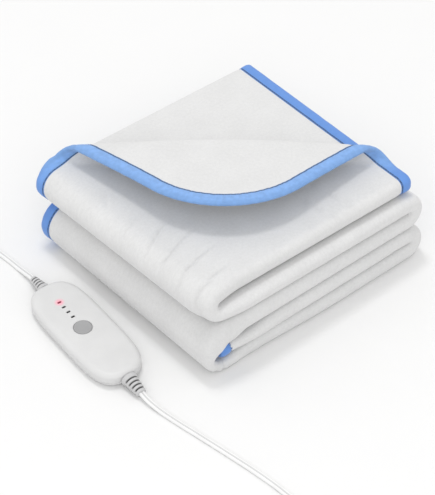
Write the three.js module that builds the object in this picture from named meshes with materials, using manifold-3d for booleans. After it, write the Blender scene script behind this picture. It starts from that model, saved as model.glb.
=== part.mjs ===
// Heated mattress topper, folded into a small stack, with its hand controller and two leads.
// X runs along the near right side of the stack, Y along its near left side, Z up.
// Lengths are in millimetres and angles in degrees. The floor is z = 0.

import * as THREE from 'three';
import * as BufferGeometryUtils from 'three/addons/utils/BufferGeometryUtils.js';
import Module from 'manifold-3d';

const wasm = await Module();
wasm.setup();

const GAP = 0.3;

// Cloth
const CLOTH = 4.8;
const LEAF_PITCH = 6.5;
const CORNER_RADIUS = 98;
const BAND_WIDTH = 13;
const BAND_ROUNDING = 1.6;

// The strip of three leaves is folded back and forth into five legs.
// z is the height of a leg's middle.
const LEG_HEIGHT = { top: 87.4, second: 67.8, third: 48.2, bottom: 8.9, tucked: 28.5 };
const TOP_END_X = 126;
const TUCKED_END_X = -108;
const LEFT_UPPER_X = -131;
const LEFT_LOWER_X = -134.4;
const RIGHT_UPPER_X = 134;
const RIGHT_LOWER_X = 137;
const LEG_SIDE = LEAF_PITCH + CLOTH / 2;

// Across the strip: near side at y = -HALF_WIDTH, far side at y = +HALF_WIDTH
const HALF_WIDTH = 125;
const NEAR_HEIGHT_FACTOR = 1.03;
const FAR_HEIGHT_FACTOR = 0.89;
const FREE_EDGE_Y_TOP = 124.3;
const FREE_EDGE_Y_WRAP = 122.6;
const LEAF_1_WIDTH = 240;
const NEAR_FOLD_LENGTH = Math.PI * LEAF_PITCH;
const FAR_FOLD_RADIUS = LEAF_PITCH / 2;
const FAR_FOLD_DEPTH = 2.9;
const FAR_FOLD_LENGTH = Math.PI * FAR_FOLD_RADIUS;
const LEAF_3_WIDTH = 225;
const NEAR_FOLD_LIMIT = 8;
const NEAR_FOLD_SQUARENESS = 2.8;
const SQUARE_FROM = [3, 6];

// How far leaf 2 swells toward leaf 3 at the near side
const SWELL = 6.7;
const SWELL_OVER_HOLLOW = 5.5;
const PINCH_AT_HOLLOW = 1.2;
const SWELL_RETURN = [-14, 44];
const NEAR_INSET = 4.2;
const NEAR_RAMP = [17, 29];

// How far leaf 1 is raised at the near side, where the second and third legs meet
const NEAR_LIFT = 4.8;
const LIFT_RAMP = [4, 29];

// How far leaf 1 dips at the near side before the tucked end
const TUCKED_DIP = 4.2;
const TUCKED_DIP_RAMP = [62, 26];

// How far the tucked end's near corner reaches on, droops and stays back
const TUCKED_CORNER = { reach: 7, droop: 3.8, back: 5 };
const CORNER_LENGTH = [40, 12];
const CORNER_RAMP = [12, 38];

// How far leaf 3 stays back from the near side
const SET_BACK = 30;

// Turned-over corner of the top leaf
const TURN_START_PAST_LEG = 11.1;
const TURN_END_ACROSS = 231.6;
const ROLL_RADIUS = { left: 10, middle: 13.2, right: 10 };
const ROLL_ANGLE = 174.5;
const TURNED_REACH = 1.14;

// Cells of the cloth's mesh, per stretch along the strip and across it
const CELLS_ALONG = [18, 6, 4, 6, 3, 3, 11, 4, 3, 5, 2, 3, 2];
const CELLS_ACROSS = [16, 6, 5, 3, 4, 3];
const SWELL_LEAD = 24;
const RAMP_REACH = 32;

// Controller
const HOUSING = { length: 139.5, width: 54.2, height: 15.5, parting: 6 };
const HOUSING_CENTRE = [-182.1, -5.2];
const HOUSING_TURN = 86;
const HOUSING_SEGMENTS = 36;
const HOUSING_POWER = { length: 4.4, width: 2.95 };
const MARKS_ASIDE = 2;
const BUTTON = { radius: 8.7, along: 0.8, pocket: 1.4, proud: 0.3 };
const LAMP = { length: 3.4, width: 1.6, first: 40.6, pitch: 7.7, pocket: 1.2, proud: 0.15 };
const RELIEF_HEIGHT = 7.6;
const RELIEF_TILT = 5;
const RELIEF_FLATNESS = 0.82;
const TOPPER_RELIEF = { length: 20.5, collar: 6.2, root: 5.6, tip: 3.7, ribs: 4 };
const MAINS_RELIEF = { length: 21, collar: 8, root: 7.2, tip: 4.8, ribs: 4 };

// Leads: two strands side by side, lying flat
const LEAD = { width: 6, thickness: 3.2, lift: 1.9 };
const COIL = { radius: 35, height: 7.3, chamfer: 1.4 };
const COIL_TOPPER = { half_width: 9.8, outer_turn: 41.4 };
const COIL_MAINS = { half_width: 13.2, outer_turn: 44.6 };
const COIL_LIFT = 0.15;
const COIL_TOPPER_CENTRE = [-221, 192];
const COIL_MAINS_CENTRE = [-209.5, -332];
const TAIL_LENGTH = 24;
const TAIL_HEIGHTS = [4.6, 3.2, 2.3];

// Ends of the leads, from the boot to the face: distance, width and height of each section
const CONNECTOR_ROWS = [[0, 8, 4.6], [14, 9.4, 6], [15, 13, 9], [18, 17, 11], [44, 17, 11], [45.5, 15, 9.6],
  [46, 12, 7], [55, 12, 7]];
const PLUG_ROWS = [[0, 8, 4.6], [18, 11, 7.6], [22, 24, 11], [30, 34, 13.7], [45, 35.3, 13.7], [47, 33.5, 12.4]];
const END_SEGMENTS = 20;
const END_POWER = 3.4;
const PIN = { length: 19, radius: 2, pitch: 18.6, height: 6.85 };

const COLOURS = {
  cloth: 0xe9e9e8,
  binding: 0x6ea3f0,
  housing: 0xe4e4e5,
  button: 0xb4b4b5,
  lamp: 0x2c2c2e,
  lamp_lit: 0xe0455f,
  relief: 0xc9c9ca,
  lead: 0xececec,
  metal: 0xc4c6c8,
};

const rad = THREE.MathUtils.degToRad;
const clamp = THREE.MathUtils.clamp;

function ease(x, from, to) {
  const u = clamp((x - from) / (to - from), 0, 1);
  return u * u * (3 - 2 * u);
}

function sideTurn(upper, lower) {
  return (upper - lower) / 2;
}

// Middle line of the strip: straight legs and half-round turns, with the arc length where each begins
function makePath() {
  const z = LEG_HEIGHT;
  const rLeftUp = sideTurn(z.top, z.second);
  const rRightUp = sideTurn(z.second, z.third);
  const rLeftLow = sideTurn(z.third, z.bottom);
  const rRightLow = sideTurn(z.tucked, z.bottom);
  const xLeftUp = LEFT_UPPER_X + rLeftUp + LEG_SIDE;
  const xRightUp = RIGHT_UPPER_X - rRightUp - LEG_SIDE;
  const xLeftLow = LEFT_LOWER_X + rLeftLow + LEG_SIDE;
  const xRightLow = RIGHT_LOWER_X - rRightLow - LEG_SIDE;
  const leg = (x0, x1, height, up) => ({ leg: true, x0, x1, z: height, up, length: Math.abs(x1 - x0) });
  const turn = (x, top, low, radius, from, to, side) => (
    { leg: false, x, z: (top + low) / 2, radius, from, to, side, length: Math.PI * radius });
  const rows = [
    leg(TOP_END_X, xLeftUp, z.top, 1),
    turn(xLeftUp, z.top, z.second, rLeftUp, 90, 270, 1),
    leg(xLeftUp, xRightUp, z.second, -1),
    turn(xRightUp, z.second, z.third, rRightUp, 270, 90, -1),
    leg(xRightUp, xLeftLow, z.third, 1),
    turn(xLeftLow, z.third, z.bottom, rLeftLow, 90, 270, 1),
    leg(xLeftLow, xRightLow, z.bottom, -1),
    turn(xRightLow, z.tucked, z.bottom, rRightLow, 270, 450, 1),
    leg(xRightLow, TUCKED_END_X, z.tucked, 1),
  ];
  let start = 0;
  for (const row of rows) {
    row.start = start;
    start += row.length;
    row.end = start;
  }
  return rows;
}

const PATH = makePath();
const STRIP_LENGTH = PATH[PATH.length - 1].end;
const TOP_LEG_END = PATH[0].end;
const UPPER_TURN_END = PATH[1].end;
const WRAP_START = PATH[5].start;
const WRAP_END = PATH[5].end;
const WRAP_MIDDLE = (WRAP_START + WRAP_END) / 2;

// Point of the middle line at arc length s, with the direction toward leaf 1
function pathAt(s) {
  let row = PATH[0];
  for (const candidate of PATH) {
    if (s >= candidate.start) row = candidate;
  }
  const d = s - row.start;
  if (row.leg) {
    return { x: row.x0 + Math.sign(row.x1 - row.x0) * d, z: row.z, nx: 0, nz: row.up };
  }
  const a = rad(row.from + (row.to - row.from) * d / row.length);
  const nx = Math.cos(a);
  const nz = Math.sin(a);
  return { x: row.x + row.side * row.radius * nx, z: row.z + row.side * row.radius * nz, nx, nz };
}

function freeEdgeY(s) {
  return FREE_EDGE_Y_TOP + (FREE_EDGE_Y_WRAP - FREE_EDGE_Y_TOP) * ease(s, TOP_LEG_END - 20, WRAP_START - 60);
}

// The top leg lies a little farther back than the others
function sideShift(s) {
  const onLeg = 9 + 4 * clamp(s / TOP_LEG_END, 0, 1);
  return onLeg * (1 - ease(s, TOP_LEG_END - 30, UPPER_TURN_END + 30));
}

// The stack is longer at its far side
function endShift(s, y) {
  const far = (y + HALF_WIDTH) / (2 * HALF_WIDTH);
  const end = 1 - ease(s, 0, TOP_LEG_END);
  return (13 * far - 3) * end - 4 * far * (1 - end) * ease(-pathAt(s).x, -60, 120);
}

// The near side draws in round the lower part of the wrap
function nearInset(s, y) {
  const round = ease(s, WRAP_MIDDLE - 10, WRAP_MIDDLE + 20) * (1 - ease(s, WRAP_END + 10, WRAP_END + 130));
  return NEAR_INSET * round * (HALF_WIDTH - y) / (2 * HALF_WIDTH);
}

function swell(s) {
  const over = SWELL_OVER_HOLLOW * ease(s, WRAP_START - 20, WRAP_START - 2);
  const p = SWELL + over * (1 - ease(s, WRAP_MIDDLE - 14, WRAP_MIDDLE + 4));
  const pinched = ease(s, WRAP_MIDDLE - 8, WRAP_MIDDLE + 10)
    * (1 - ease(s, WRAP_END + SWELL_RETURN[0], WRAP_END + SWELL_RETURN[1]));
  return p - (p + PINCH_AT_HOLLOW) * pinched;
}

function lift(s) {
  const [, turn, second, , third] = PATH;
  const onSecond = ease(s, turn.start, turn.end) * clamp((second.end - s) / second.length, 0, 1);
  const onThird = (1 - ease(s, WRAP_START, WRAP_MIDDLE)) * clamp((s - third.start) / third.length, 0, 1);
  return NEAR_LIFT * (onThird - onSecond);
}

// Offset of leaf 1 from the leg's middle
function leafOneAt(s, y) {
  const dip = TUCKED_DIP * ease(s, STRIP_LENGTH - TUCKED_DIP_RAMP[0], STRIP_LENGTH - TUCKED_DIP_RAMP[1]);
  return LEAF_PITCH + lift(s) * nearSide(y, LIFT_RAMP) - dip * nearSide(y, NEAR_RAMP);
}

function nearSide(y, ramp) {
  return 1 - ease(y, -HALF_WIDTH + ramp[0], -HALF_WIDTH + ramp[1]);
}

const FAR_FOLD_Y = HALF_WIDTH - CLOTH / 2 - FAR_FOLD_RADIUS;
const LEAF_2_START = LEAF_1_WIDTH + NEAR_FOLD_LENGTH;
const LEAF_2_WIDTH = 2 * HALF_WIDTH - CLOTH - FAR_FOLD_RADIUS - 7;
const LEAF_2_END = LEAF_2_START + LEAF_2_WIDTH;
const LEAF_3_START = LEAF_2_END + FAR_FOLD_LENGTH;
const STRIP_WIDTH = LEAF_3_START + LEAF_3_WIDTH;

// Place across the strip: y, and the offset t from the leg's middle toward leaf 1
function acrossAt(s, v) {
  const low = -swell(s);
  const half = (LEAF_PITCH - low) / 2;
  const depth = Math.min(1.15 * half, NEAR_FOLD_LIMIT);
  const foldY = -HALF_WIDTH + CLOTH / 2 + depth;
  if (v < LEAF_1_WIDTH) {
    const y = foldY + (freeEdgeY(s) - foldY) * (1 - v / LEAF_1_WIDTH);
    return { y, t: leafOneAt(s, y) };
  }
  if (v < LEAF_2_START) {
    const a = Math.PI * (v - LEAF_1_WIDTH) / NEAR_FOLD_LENGTH;
    const power = 2 + (NEAR_FOLD_SQUARENESS - 2) * ease(half, SQUARE_FROM[0], SQUARE_FROM[1]);
    const square = (Math.sin(a) ** power + Math.abs(Math.cos(a)) ** power) ** (1 / power);
    const start = leafOneAt(s, foldY);
    const end = low * nearSide(foldY, NEAR_RAMP);
    const t = (start + end) / 2 + (start - end) / 2 * Math.cos(a) / square;
    return { y: foldY - depth * Math.sin(a) / square, t };
  }
  if (v < LEAF_2_END) {
    const y = foldY + (FAR_FOLD_Y - foldY) * (v - LEAF_2_START) / LEAF_2_WIDTH;
    return { y, t: low * nearSide(y, NEAR_RAMP) };
  }
  if (v < LEAF_3_START) {
    const a = Math.PI * (v - LEAF_2_END) / FAR_FOLD_LENGTH;
    return { y: FAR_FOLD_Y + FAR_FOLD_DEPTH * Math.sin(a), t: FAR_FOLD_RADIUS * (Math.cos(a) - 1) };
  }
  const reach = FAR_FOLD_Y + HALF_WIDTH - SET_BACK;
  return { y: FAR_FOLD_Y - reach * (v - LEAF_3_START) / LEAF_3_WIDTH, t: -LEAF_PITCH };
}

function heightFactor(y) {
  return NEAR_HEIGHT_FACTOR + (FAR_HEIGHT_FACTOR - NEAR_HEIGHT_FACTOR) * (y + HALF_WIDTH) / (2 * HALF_WIDTH);
}

// Folded place of the flat point (s, v), before the corner is turned over
function foldedAt(s, v) {
  const { y: y0, t } = acrossAt(s, v);
  const p = pathAt(s);
  const corner = nearSide(y0, CORNER_RAMP) * ease(s, STRIP_LENGTH - CORNER_LENGTH[0], STRIP_LENGTH - CORNER_LENGTH[1]);
  const y = y0 + sideShift(s) + nearInset(s, y0) + TUCKED_CORNER.back * corner;
  const z = p.z + t * p.nz - CLOTH / 2 - TUCKED_CORNER.droop * corner;
  const x = p.x + endShift(s, y0) + t * p.nx - TUCKED_CORNER.reach * corner;
  return new THREE.Vector3(x, y, CLOTH / 2 + z * heightFactor(y));
}

// The corner is rolled back over the line from A on the long edge to B on the end
const TURN_A = new THREE.Vector2(TOP_LEG_END + TURN_START_PAST_LEG, 0);
const TURN_B = new THREE.Vector2(0, TURN_END_ACROSS);
const TURN_LENGTH = TURN_A.distanceTo(TURN_B);
const TURN_ALONG = TURN_B.clone().sub(TURN_A).normalize();
const TURN_OUT = new THREE.Vector2(-TURN_ALONG.y, TURN_ALONG.x);
if (TURN_OUT.dot(TURN_A) > 0) TURN_OUT.negate();

function slope(s, v, ds, dv) {
  const h = 0.5;
  return foldedAt(s + h * ds, v + h * dv).sub(foldedAt(s - h * ds, v - h * dv)).normalize();
}

function clothAt(s, v) {
  const from = new THREE.Vector2(s, v).sub(TURN_A);
  const d = from.dot(TURN_OUT);
  if (d <= 0 || v >= LEAF_1_WIDTH || s >= UPPER_TURN_END) return foldedAt(s, v);
  const w = from.dot(TURN_ALONG) / TURN_LENGTH;
  const k = clamp(w, 0, 1);
  const r = ROLL_RADIUS;
  const radius = r.left + (r.right - r.left) * k + (r.middle - (r.left + r.right) / 2) * Math.sin(Math.PI * k);
  const full = rad(ROLL_ANGLE);
  const angle = Math.min(d / radius, full);
  const rest = Math.max(d - radius * full, 0) * TURNED_REACH;
  const out = radius * Math.sin(angle) + rest * Math.cos(full);
  const up = radius * (1 - Math.cos(angle)) + rest * Math.sin(full);
  const bs = TURN_A.x + w * TURN_LENGTH * TURN_ALONG.x;
  const bv = TURN_A.y + w * TURN_LENGTH * TURN_ALONG.y;
  const along = slope(bs, bv, TURN_ALONG.x, TURN_ALONG.y);
  const outward = slope(bs, bv, TURN_OUT.x, TURN_OUT.y);
  outward.addScaledVector(along, -outward.dot(along)).normalize();
  const normal = along.clone().cross(outward);
  if (normal.z < 0) normal.negate();
  return foldedAt(bs, bv).addScaledVector(outward, out).addScaledVector(normal, up);
}

function clothNormal(s, v) {
  const h = 0.5;
  const along = clothAt(s + h, v).sub(clothAt(s - h, v));
  const across = clothAt(s, v + h).sub(clothAt(s, v - h));
  return along.cross(across).normalize();
}

function offsetPoint(s, v, distance) {
  return clothAt(s, v).addScaledVector(clothNormal(s, v), distance);
}

// Rounded-off place of a point of the flat rectangle that starts at inset from the cloth's edge
function roundCorner(s, v, inset) {
  const r = CORNER_RADIUS - inset;
  const s1 = STRIP_LENGTH - inset;
  const v1 = STRIP_WIDTH - inset;
  const cs = s < STRIP_LENGTH / 2 ? inset + r : s1 - r;
  const cv = v < STRIP_WIDTH / 2 ? inset + r : v1 - r;
  const p = (s - cs) / r * (s < STRIP_LENGTH / 2 ? -1 : 1);
  const q = (v - cv) / r * (v < STRIP_WIDTH / 2 ? -1 : 1);
  if (p <= 0 || q <= 0) return [s, v];
  const x = p * Math.sqrt(1 - q * q / 2);
  const y = q * Math.sqrt(1 - p * p / 2);
  return [cs + (s - cs) / p * x, cv + (v - cv) / q * y];
}

function stations(bounds, cells) {
  const list = [bounds[0]];
  cells.forEach((n, k) => {
    for (let i = 1; i <= n; i++) list.push(bounds[k] + (bounds[k + 1] - bounds[k]) * i / n);
  });
  return list;
}

const PANEL_INSET = BAND_WIDTH + GAP;

const ALONG = stations([PANEL_INSET, ...PATH.slice(0, 4).map((row) => row.end), WRAP_START - SWELL_LEAD,
  WRAP_START, WRAP_END, WRAP_END + SWELL_RETURN[1], PATH[6].end, PATH[7].end, STRIP_LENGTH - TUCKED_DIP_RAMP[0],
  STRIP_LENGTH - TUCKED_DIP_RAMP[1], STRIP_LENGTH - PANEL_INSET], CELLS_ALONG);

const ACROSS = stations([PANEL_INSET, LEAF_1_WIDTH, LEAF_2_START, LEAF_2_START + RAMP_REACH, LEAF_2_END,
  LEAF_3_START, STRIP_WIDTH - PANEL_INSET], CELLS_ACROSS);

function solidFrom(points, faces) {
  const geometry = new THREE.BufferGeometry();
  geometry.setAttribute('position', new THREE.Float32BufferAttribute(points.flatMap((p) => [p.x, p.y, p.z]), 3));
  geometry.setIndex(faces.flat());
  if (signedVolume(geometry) < 0) geometry.setIndex(faces.map(([a, b, c]) => [a, c, b]).flat());
  geometry.computeVertexNormals();
  return geometry;
}

function signedVolume(geometry) {
  const p = geometry.getAttribute('position');
  const index = geometry.getIndex();
  const a = new THREE.Vector3();
  const b = new THREE.Vector3();
  const c = new THREE.Vector3();
  let six = 0;
  for (let i = 0; i < index.count; i += 3) {
    a.fromBufferAttribute(p, index.getX(i));
    b.fromBufferAttribute(p, index.getX(i + 1));
    c.fromBufferAttribute(p, index.getX(i + 2));
    six += a.dot(b.cross(c));
  }
  return six / 6;
}

// Padded panel: two faces a cloth's thickness apart, closed round the edge
function panelGeometry() {
  const points = [];
  const faces = [];
  const ns = ALONG.length;
  const nv = ACROSS.length;
  const at = (side, i, j) => side * ns * nv + i * nv + j;
  for (const side of [1, -1]) {
    for (const s of ALONG) {
      for (const v of ACROSS) {
        const [rs, rv] = roundCorner(s, v, PANEL_INSET);
        points.push(offsetPoint(rs, rv, side * CLOTH / 2));
      }
    }
  }
  for (let i = 0; i < ns - 1; i++) {
    for (let j = 0; j < nv - 1; j++) {
      faces.push([at(0, i, j), at(0, i + 1, j), at(0, i, j + 1)]);
      faces.push([at(0, i + 1, j), at(0, i + 1, j + 1), at(0, i, j + 1)]);
      faces.push([at(1, i, j), at(1, i, j + 1), at(1, i + 1, j)]);
      faces.push([at(1, i + 1, j), at(1, i, j + 1), at(1, i + 1, j + 1)]);
    }
  }
  const rim = rimOrder();
  rim.forEach(([i, j], k) => {
    const [i2, j2] = rim[(k + 1) % rim.length];
    faces.push([at(0, i, j), at(0, i2, j2), at(1, i2, j2)]);
    faces.push([at(0, i, j), at(1, i2, j2), at(1, i, j)]);
  });
  return solidFrom(points, faces);
}

// Grid places round the panel's edge, in order
function rimOrder() {
  const ns = ALONG.length;
  const nv = ACROSS.length;
  const rim = [];
  for (let j = 0; j < nv - 1; j++) rim.push([0, j]);
  for (let i = 0; i < ns - 1; i++) rim.push([i, nv - 1]);
  for (let j = nv - 1; j > 0; j--) rim.push([ns - 1, j]);
  for (let i = ns - 1; i > 0; i--) rim.push([i, 0]);
  return rim;
}

// Direction out of the cloth's flat outline at one of the panel's edge points
function outwardAt(s, v) {
  const r = CORNER_RADIUS;
  const cs = clamp(s, r, STRIP_LENGTH - r);
  const cv = clamp(v, r, STRIP_WIDTH - r);
  const ds = s - cs;
  const dv = v - cv;
  if (Math.abs(ds) < 1e-6 && Math.abs(dv) < 1e-6) {
    const toS = Math.min(s, STRIP_LENGTH - s);
    const toV = Math.min(v, STRIP_WIDTH - v);
    if (toS < toV) return [s < STRIP_LENGTH / 2 ? -1 : 1, 0];
    return [0, v < STRIP_WIDTH / 2 ? -1 : 1];
  }
  const length = Math.hypot(ds, dv);
  return [ds / length, dv / length];
}

// Bound edge: a folded band round the whole outline
function bindingGeometry() {
  const section = [
    [GAP, 1],
    [PANEL_INSET - BAND_ROUNDING, 1],
    [PANEL_INSET, 0],
    [PANEL_INSET - BAND_ROUNDING, -1],
    [GAP, -1],
  ];
  const n = section.length;
  const points = [];
  const faces = [];
  const rim = rimOrder();
  for (const [i, j] of rim) {
    const [s, v] = roundCorner(ALONG[i], ACROSS[j], PANEL_INSET);
    const [os, ov] = outwardAt(s, v);
    for (const [out, side] of section) {
      points.push(offsetPoint(s + os * out, v + ov * out, side * CLOTH / 2));
    }
  }
  for (let k = 0; k < rim.length; k++) {
    const here = k * n;
    const next = ((k + 1) % rim.length) * n;
    for (let m = 0; m < n; m++) {
      const m2 = (m + 1) % n;
      faces.push([here + m, next + m, here + m2]);
      faces.push([next + m, next + m2, here + m2]);
    }
  }
  return solidFrom(points, faces);
}

// Stack of closed rings with a flat or pointed cap at each end
function loftGeometry(rings) {
  const n = rings[0].length;
  const points = rings.flat();
  const faces = [];
  for (let k = 0; k < rings.length - 1; k++) {
    for (let i = 0; i < n; i++) {
      const i2 = (i + 1) % n;
      faces.push([k * n + i, k * n + i2, (k + 1) * n + i]);
      faces.push([k * n + i2, (k + 1) * n + i2, (k + 1) * n + i]);
    }
  }
  const centre = (ring) => ring.reduce((sum, p) => sum.add(p), new THREE.Vector3()).divideScalar(n);
  points.push(centre(rings[0]), centre(rings[rings.length - 1]));
  const last = (rings.length - 1) * n;
  for (let i = 0; i < n; i++) {
    const i2 = (i + 1) % n;
    faces.push([i2, i, points.length - 2]);
    faces.push([last + i, last + i2, points.length - 1]);
  }
  return solidFrom(points, faces);
}

// Oval ring with flattened sides, in the plane of its first two lengths
function ovalPoints(halfLength, halfWidth, segments, lengthPower, widthPower) {
  return Array.from({ length: segments }, (_, i) => {
    const a = 2 * Math.PI * (i + 0.5) / segments;
    const c = Math.cos(a);
    const s = Math.sin(a);
    return [halfLength * Math.sign(c) * Math.abs(c) ** (2 / lengthPower),
      halfWidth * Math.sign(s) * Math.abs(s) ** (2 / widthPower)];
  });
}

function housingRings(rows) {
  const power = HOUSING_POWER;
  return rows.map(([z, inset]) => ovalPoints(HOUSING.length / 2 - inset, HOUSING.width / 2 - inset,
    HOUSING_SEGMENTS, power.length, power.width).map(([x, y]) => new THREE.Vector3(x, y, z)));
}

function merged(geometry) {
  const bare = geometry.clone();
  for (const name of Object.keys(bare.attributes)) {
    if (name !== 'position') bare.deleteAttribute(name);
  }
  return BufferGeometryUtils.mergeVertices(bare, 1e-4);
}

function toSolid(geometry) {
  const bare = merged(geometry);
  return new wasm.Manifold(new wasm.Mesh({
    numProp: 3,
    vertProperties: new Float32Array(bare.getAttribute('position').array),
    triVerts: new Uint32Array(bare.getIndex().array),
  }));
}

function fromSolid(solid) {
  const mesh = solid.getMesh();
  const geometry = new THREE.BufferGeometry();
  geometry.setAttribute('position', new THREE.BufferAttribute(new Float32Array(mesh.vertProperties), 3));
  geometry.setIndex(new THREE.BufferAttribute(new Uint32Array(mesh.triVerts), 1));
  geometry.computeVertexNormals();
  return geometry;
}

function discGeometry(radius, height, segments, x, y, z) {
  return new THREE.CylinderGeometry(radius, radius, height, segments).rotateX(Math.PI / 2).translate(x, y, z);
}

function lampX(k) {
  return LAMP.first - k * LAMP.pitch;
}

function upperHousingGeometry() {
  const top = HOUSING.height;
  const rings = housingRings([
    [HOUSING.parting + GAP / 2, 0],
    [top - 4.2, 0.1],
    [top - 1.9, 1.1],
    [top - 0.6, 2.9],
    [top, 5.6],
  ]);
  let solid = toSolid(loftGeometry(rings));
  const pocket = discGeometry(BUTTON.radius + GAP, 2 * BUTTON.pocket, 28, BUTTON.along, MARKS_ASIDE, top);
  solid = solid.subtract(toSolid(pocket));
  for (let k = 0; k < 4; k++) {
    const slot = new THREE.BoxGeometry(LAMP.width + 2 * GAP, LAMP.length + 2 * GAP, 2 * LAMP.pocket);
    solid = solid.subtract(toSolid(slot.translate(lampX(k), MARKS_ASIDE, top)));
  }
  return fromSolid(solid);
}

function lowerHousingGeometry() {
  return loftGeometry(housingRings([[0, 7], [0.8, 4.2], [2.6, 1.5], [HOUSING.parting - GAP / 2, 0]]));
}

// Tapered, ribbed sleeve along +X, starting at x = 0
function reliefGeometry(relief) {
  const first = 3.4;
  const step = (relief.length - first - 1) / relief.ribs;
  const profile = [[0, 0], [relief.collar, 0], [relief.collar, first - 0.8], [relief.root, first]];
  for (let k = 0; k < relief.ribs; k++) {
    const x0 = first + step * k;
    const r = relief.root + (relief.tip - relief.root) * (k + 1) / relief.ribs;
    profile.push([r - 1.1, x0 + 0.25 * step], [r - 1.1, x0 + 0.5 * step], [r, x0 + 0.6 * step], [r, x0 + step]);
  }
  profile.push([relief.tip - 0.4, relief.length], [0, relief.length]);
  const lathe = new THREE.LatheGeometry(profile.map(([x, y]) => new THREE.Vector2(x, y)), 12);
  return lathe.rotateZ(-Math.PI / 2).scale(1, 1, RELIEF_FLATNESS);
}

// Section of the lead: thin upward, wide sideways, with a groove between the two strands
function leadShape() {
  const w = LEAD.width / 2;
  const t = LEAD.thickness / 2;
  const outline = [[0, w], [t, 0.55 * w], [0.72 * t, 0], [t, -0.55 * w], [0, -w],
    [-t, -0.55 * w], [-0.72 * t, 0], [-t, 0.55 * w]];
  return new THREE.Shape(outline.map(([x, y]) => new THREE.Vector2(x, y)));
}

// The section stays upright all along the curve
function uprightFrames(curve, steps) {
  const up = new THREE.Vector3(0, 0, 1);
  const frames = { tangents: [], normals: [], binormals: [] };
  for (let i = 0; i <= steps; i++) {
    const along = curve.getTangentAt(i / steps);
    const side = along.clone().cross(up).normalize();
    frames.tangents.push(along);
    frames.normals.push(side.clone().cross(along));
    frames.binormals.push(side);
  }
  return frames;
}

function leadGeometry(points, steps) {
  const curve = new THREE.CatmullRomCurve3(points.map((p) => new THREE.Vector3(...p)), false, 'centripetal');
  curve.computeFrenetFrames = (count) => uprightFrames(curve, count);
  return new THREE.ExtrudeGeometry(leadShape(), { steps, bevelEnabled: false, extrudePath: curve });
}

function coilGeometry(coil) {
  const { radius, height: h, chamfer: c } = COIL;
  const w = coil.half_width;
  const profile = [[radius - w, c], [radius - w + c, 0], [radius + w - c, 0], [radius + w, c],
    [radius + w, h - c], [radius + w - c, h], [radius - w + c, h], [radius - w, h - c], [radius - w, c]];
  return new THREE.LatheGeometry(profile.map(([x, y]) => new THREE.Vector2(x, y)), 24).rotateX(Math.PI / 2);
}

// End piece along +X, flat side down on the floor
function endGeometry(rows) {
  return loftGeometry(rows.map(([x, width, height]) => (
    ovalPoints(width / 2, height / 2, END_SEGMENTS, END_POWER, END_POWER)
      .map(([y, z]) => new THREE.Vector3(x, y, z + height / 2)))));
}

const group = new THREE.Group();

function material(colour, roughness, metalness = 0) {
  return new THREE.MeshStandardMaterial({ color: colour, roughness, metalness });
}

function addPiece(parent, name, geometry, look) {
  const mesh = new THREE.Mesh(geometry, look);
  mesh.name = name;
  parent.add(mesh);
  return mesh;
}

const clothLook = material(COLOURS.cloth, 0.95);
const bindingLook = material(COLOURS.binding, 0.8);
const housingLook = material(COLOURS.housing, 0.45);
const buttonLook = material(COLOURS.button, 0.5);
const lampLook = material(COLOURS.lamp, 0.35);
const lampLitLook = material(COLOURS.lamp_lit, 0.35);
const reliefLook = material(COLOURS.relief, 0.55);
const leadLook = material(COLOURS.lead, 0.5);
const metalLook = material(COLOURS.metal, 0.3, 0.9);

addPiece(group, 'panel', panelGeometry(), clothLook);
addPiece(group, 'binding', bindingGeometry(), bindingLook);

// Controller, with +X of its own toward the topper lead
const controller = new THREE.Group();
controller.position.set(HOUSING_CENTRE[0], HOUSING_CENTRE[1], 0);
controller.rotation.z = rad(HOUSING_TURN);
group.add(controller);

addPiece(controller, 'housing_lower', lowerHousingGeometry(), housingLook);
addPiece(controller, 'housing_upper', upperHousingGeometry(), housingLook);

const buttonHeight = BUTTON.pocket - GAP + BUTTON.proud;
const buttonZ = HOUSING.height + BUTTON.proud - buttonHeight / 2;
addPiece(controller, 'button', discGeometry(BUTTON.radius, buttonHeight, 28, BUTTON.along, MARKS_ASIDE, buttonZ),
  buttonLook);

const lampHeight = LAMP.pocket - GAP + LAMP.proud;
for (let k = 0; k < 4; k++) {
  const lamp = new THREE.BoxGeometry(LAMP.width, LAMP.length, lampHeight);
  lamp.translate(lampX(k), MARKS_ASIDE, HOUSING.height + LAMP.proud - lampHeight / 2);
  addPiece(controller, `lamp_${k + 1}`, lamp, k === 0 ? lampLitLook : lampLook);
}

// Strain reliefs meet the housing's ends and dip a little
const RELIEF_START = HOUSING.length / 2 + 1.5 * GAP;

function addRelief(name, relief, turned) {
  const holder = new THREE.Group();
  holder.rotation.z = turned ? Math.PI : 0;
  controller.add(holder);
  const sleeve = addPiece(holder, name, reliefGeometry(relief), reliefLook);
  sleeve.position.set(RELIEF_START, 0, RELIEF_HEIGHT);
  sleeve.rotation.y = rad(RELIEF_TILT);
}

addRelief('relief_topper', TOPPER_RELIEF, false);
addRelief('relief_mains', MAINS_RELIEF, true);

// Place of a strain relief's tip, past it by more, in the frame of the whole part
function reliefTip(relief, turned, more) {
  const reach = RELIEF_START + (relief.length + more) * Math.cos(rad(RELIEF_TILT));
  const a = rad(HOUSING_TURN) + (turned ? Math.PI : 0);
  const z = RELIEF_HEIGHT - (relief.length + more) * Math.sin(rad(RELIEF_TILT));
  return [HOUSING_CENTRE[0] + reach * Math.cos(a), HOUSING_CENTRE[1] + reach * Math.sin(a), z];
}

const Z = LEAD.lift;

// A lead that runs into a coil's outer turn meets the coil's outer side this far ahead of its centre
function coilEntry(coil) {
  const outer = COIL.radius + coil.half_width;
  const inner = coil.outer_turn - LEAD.width / 2;
  return Math.sqrt(outer * outer - inner * inner) + GAP;
}

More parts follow.
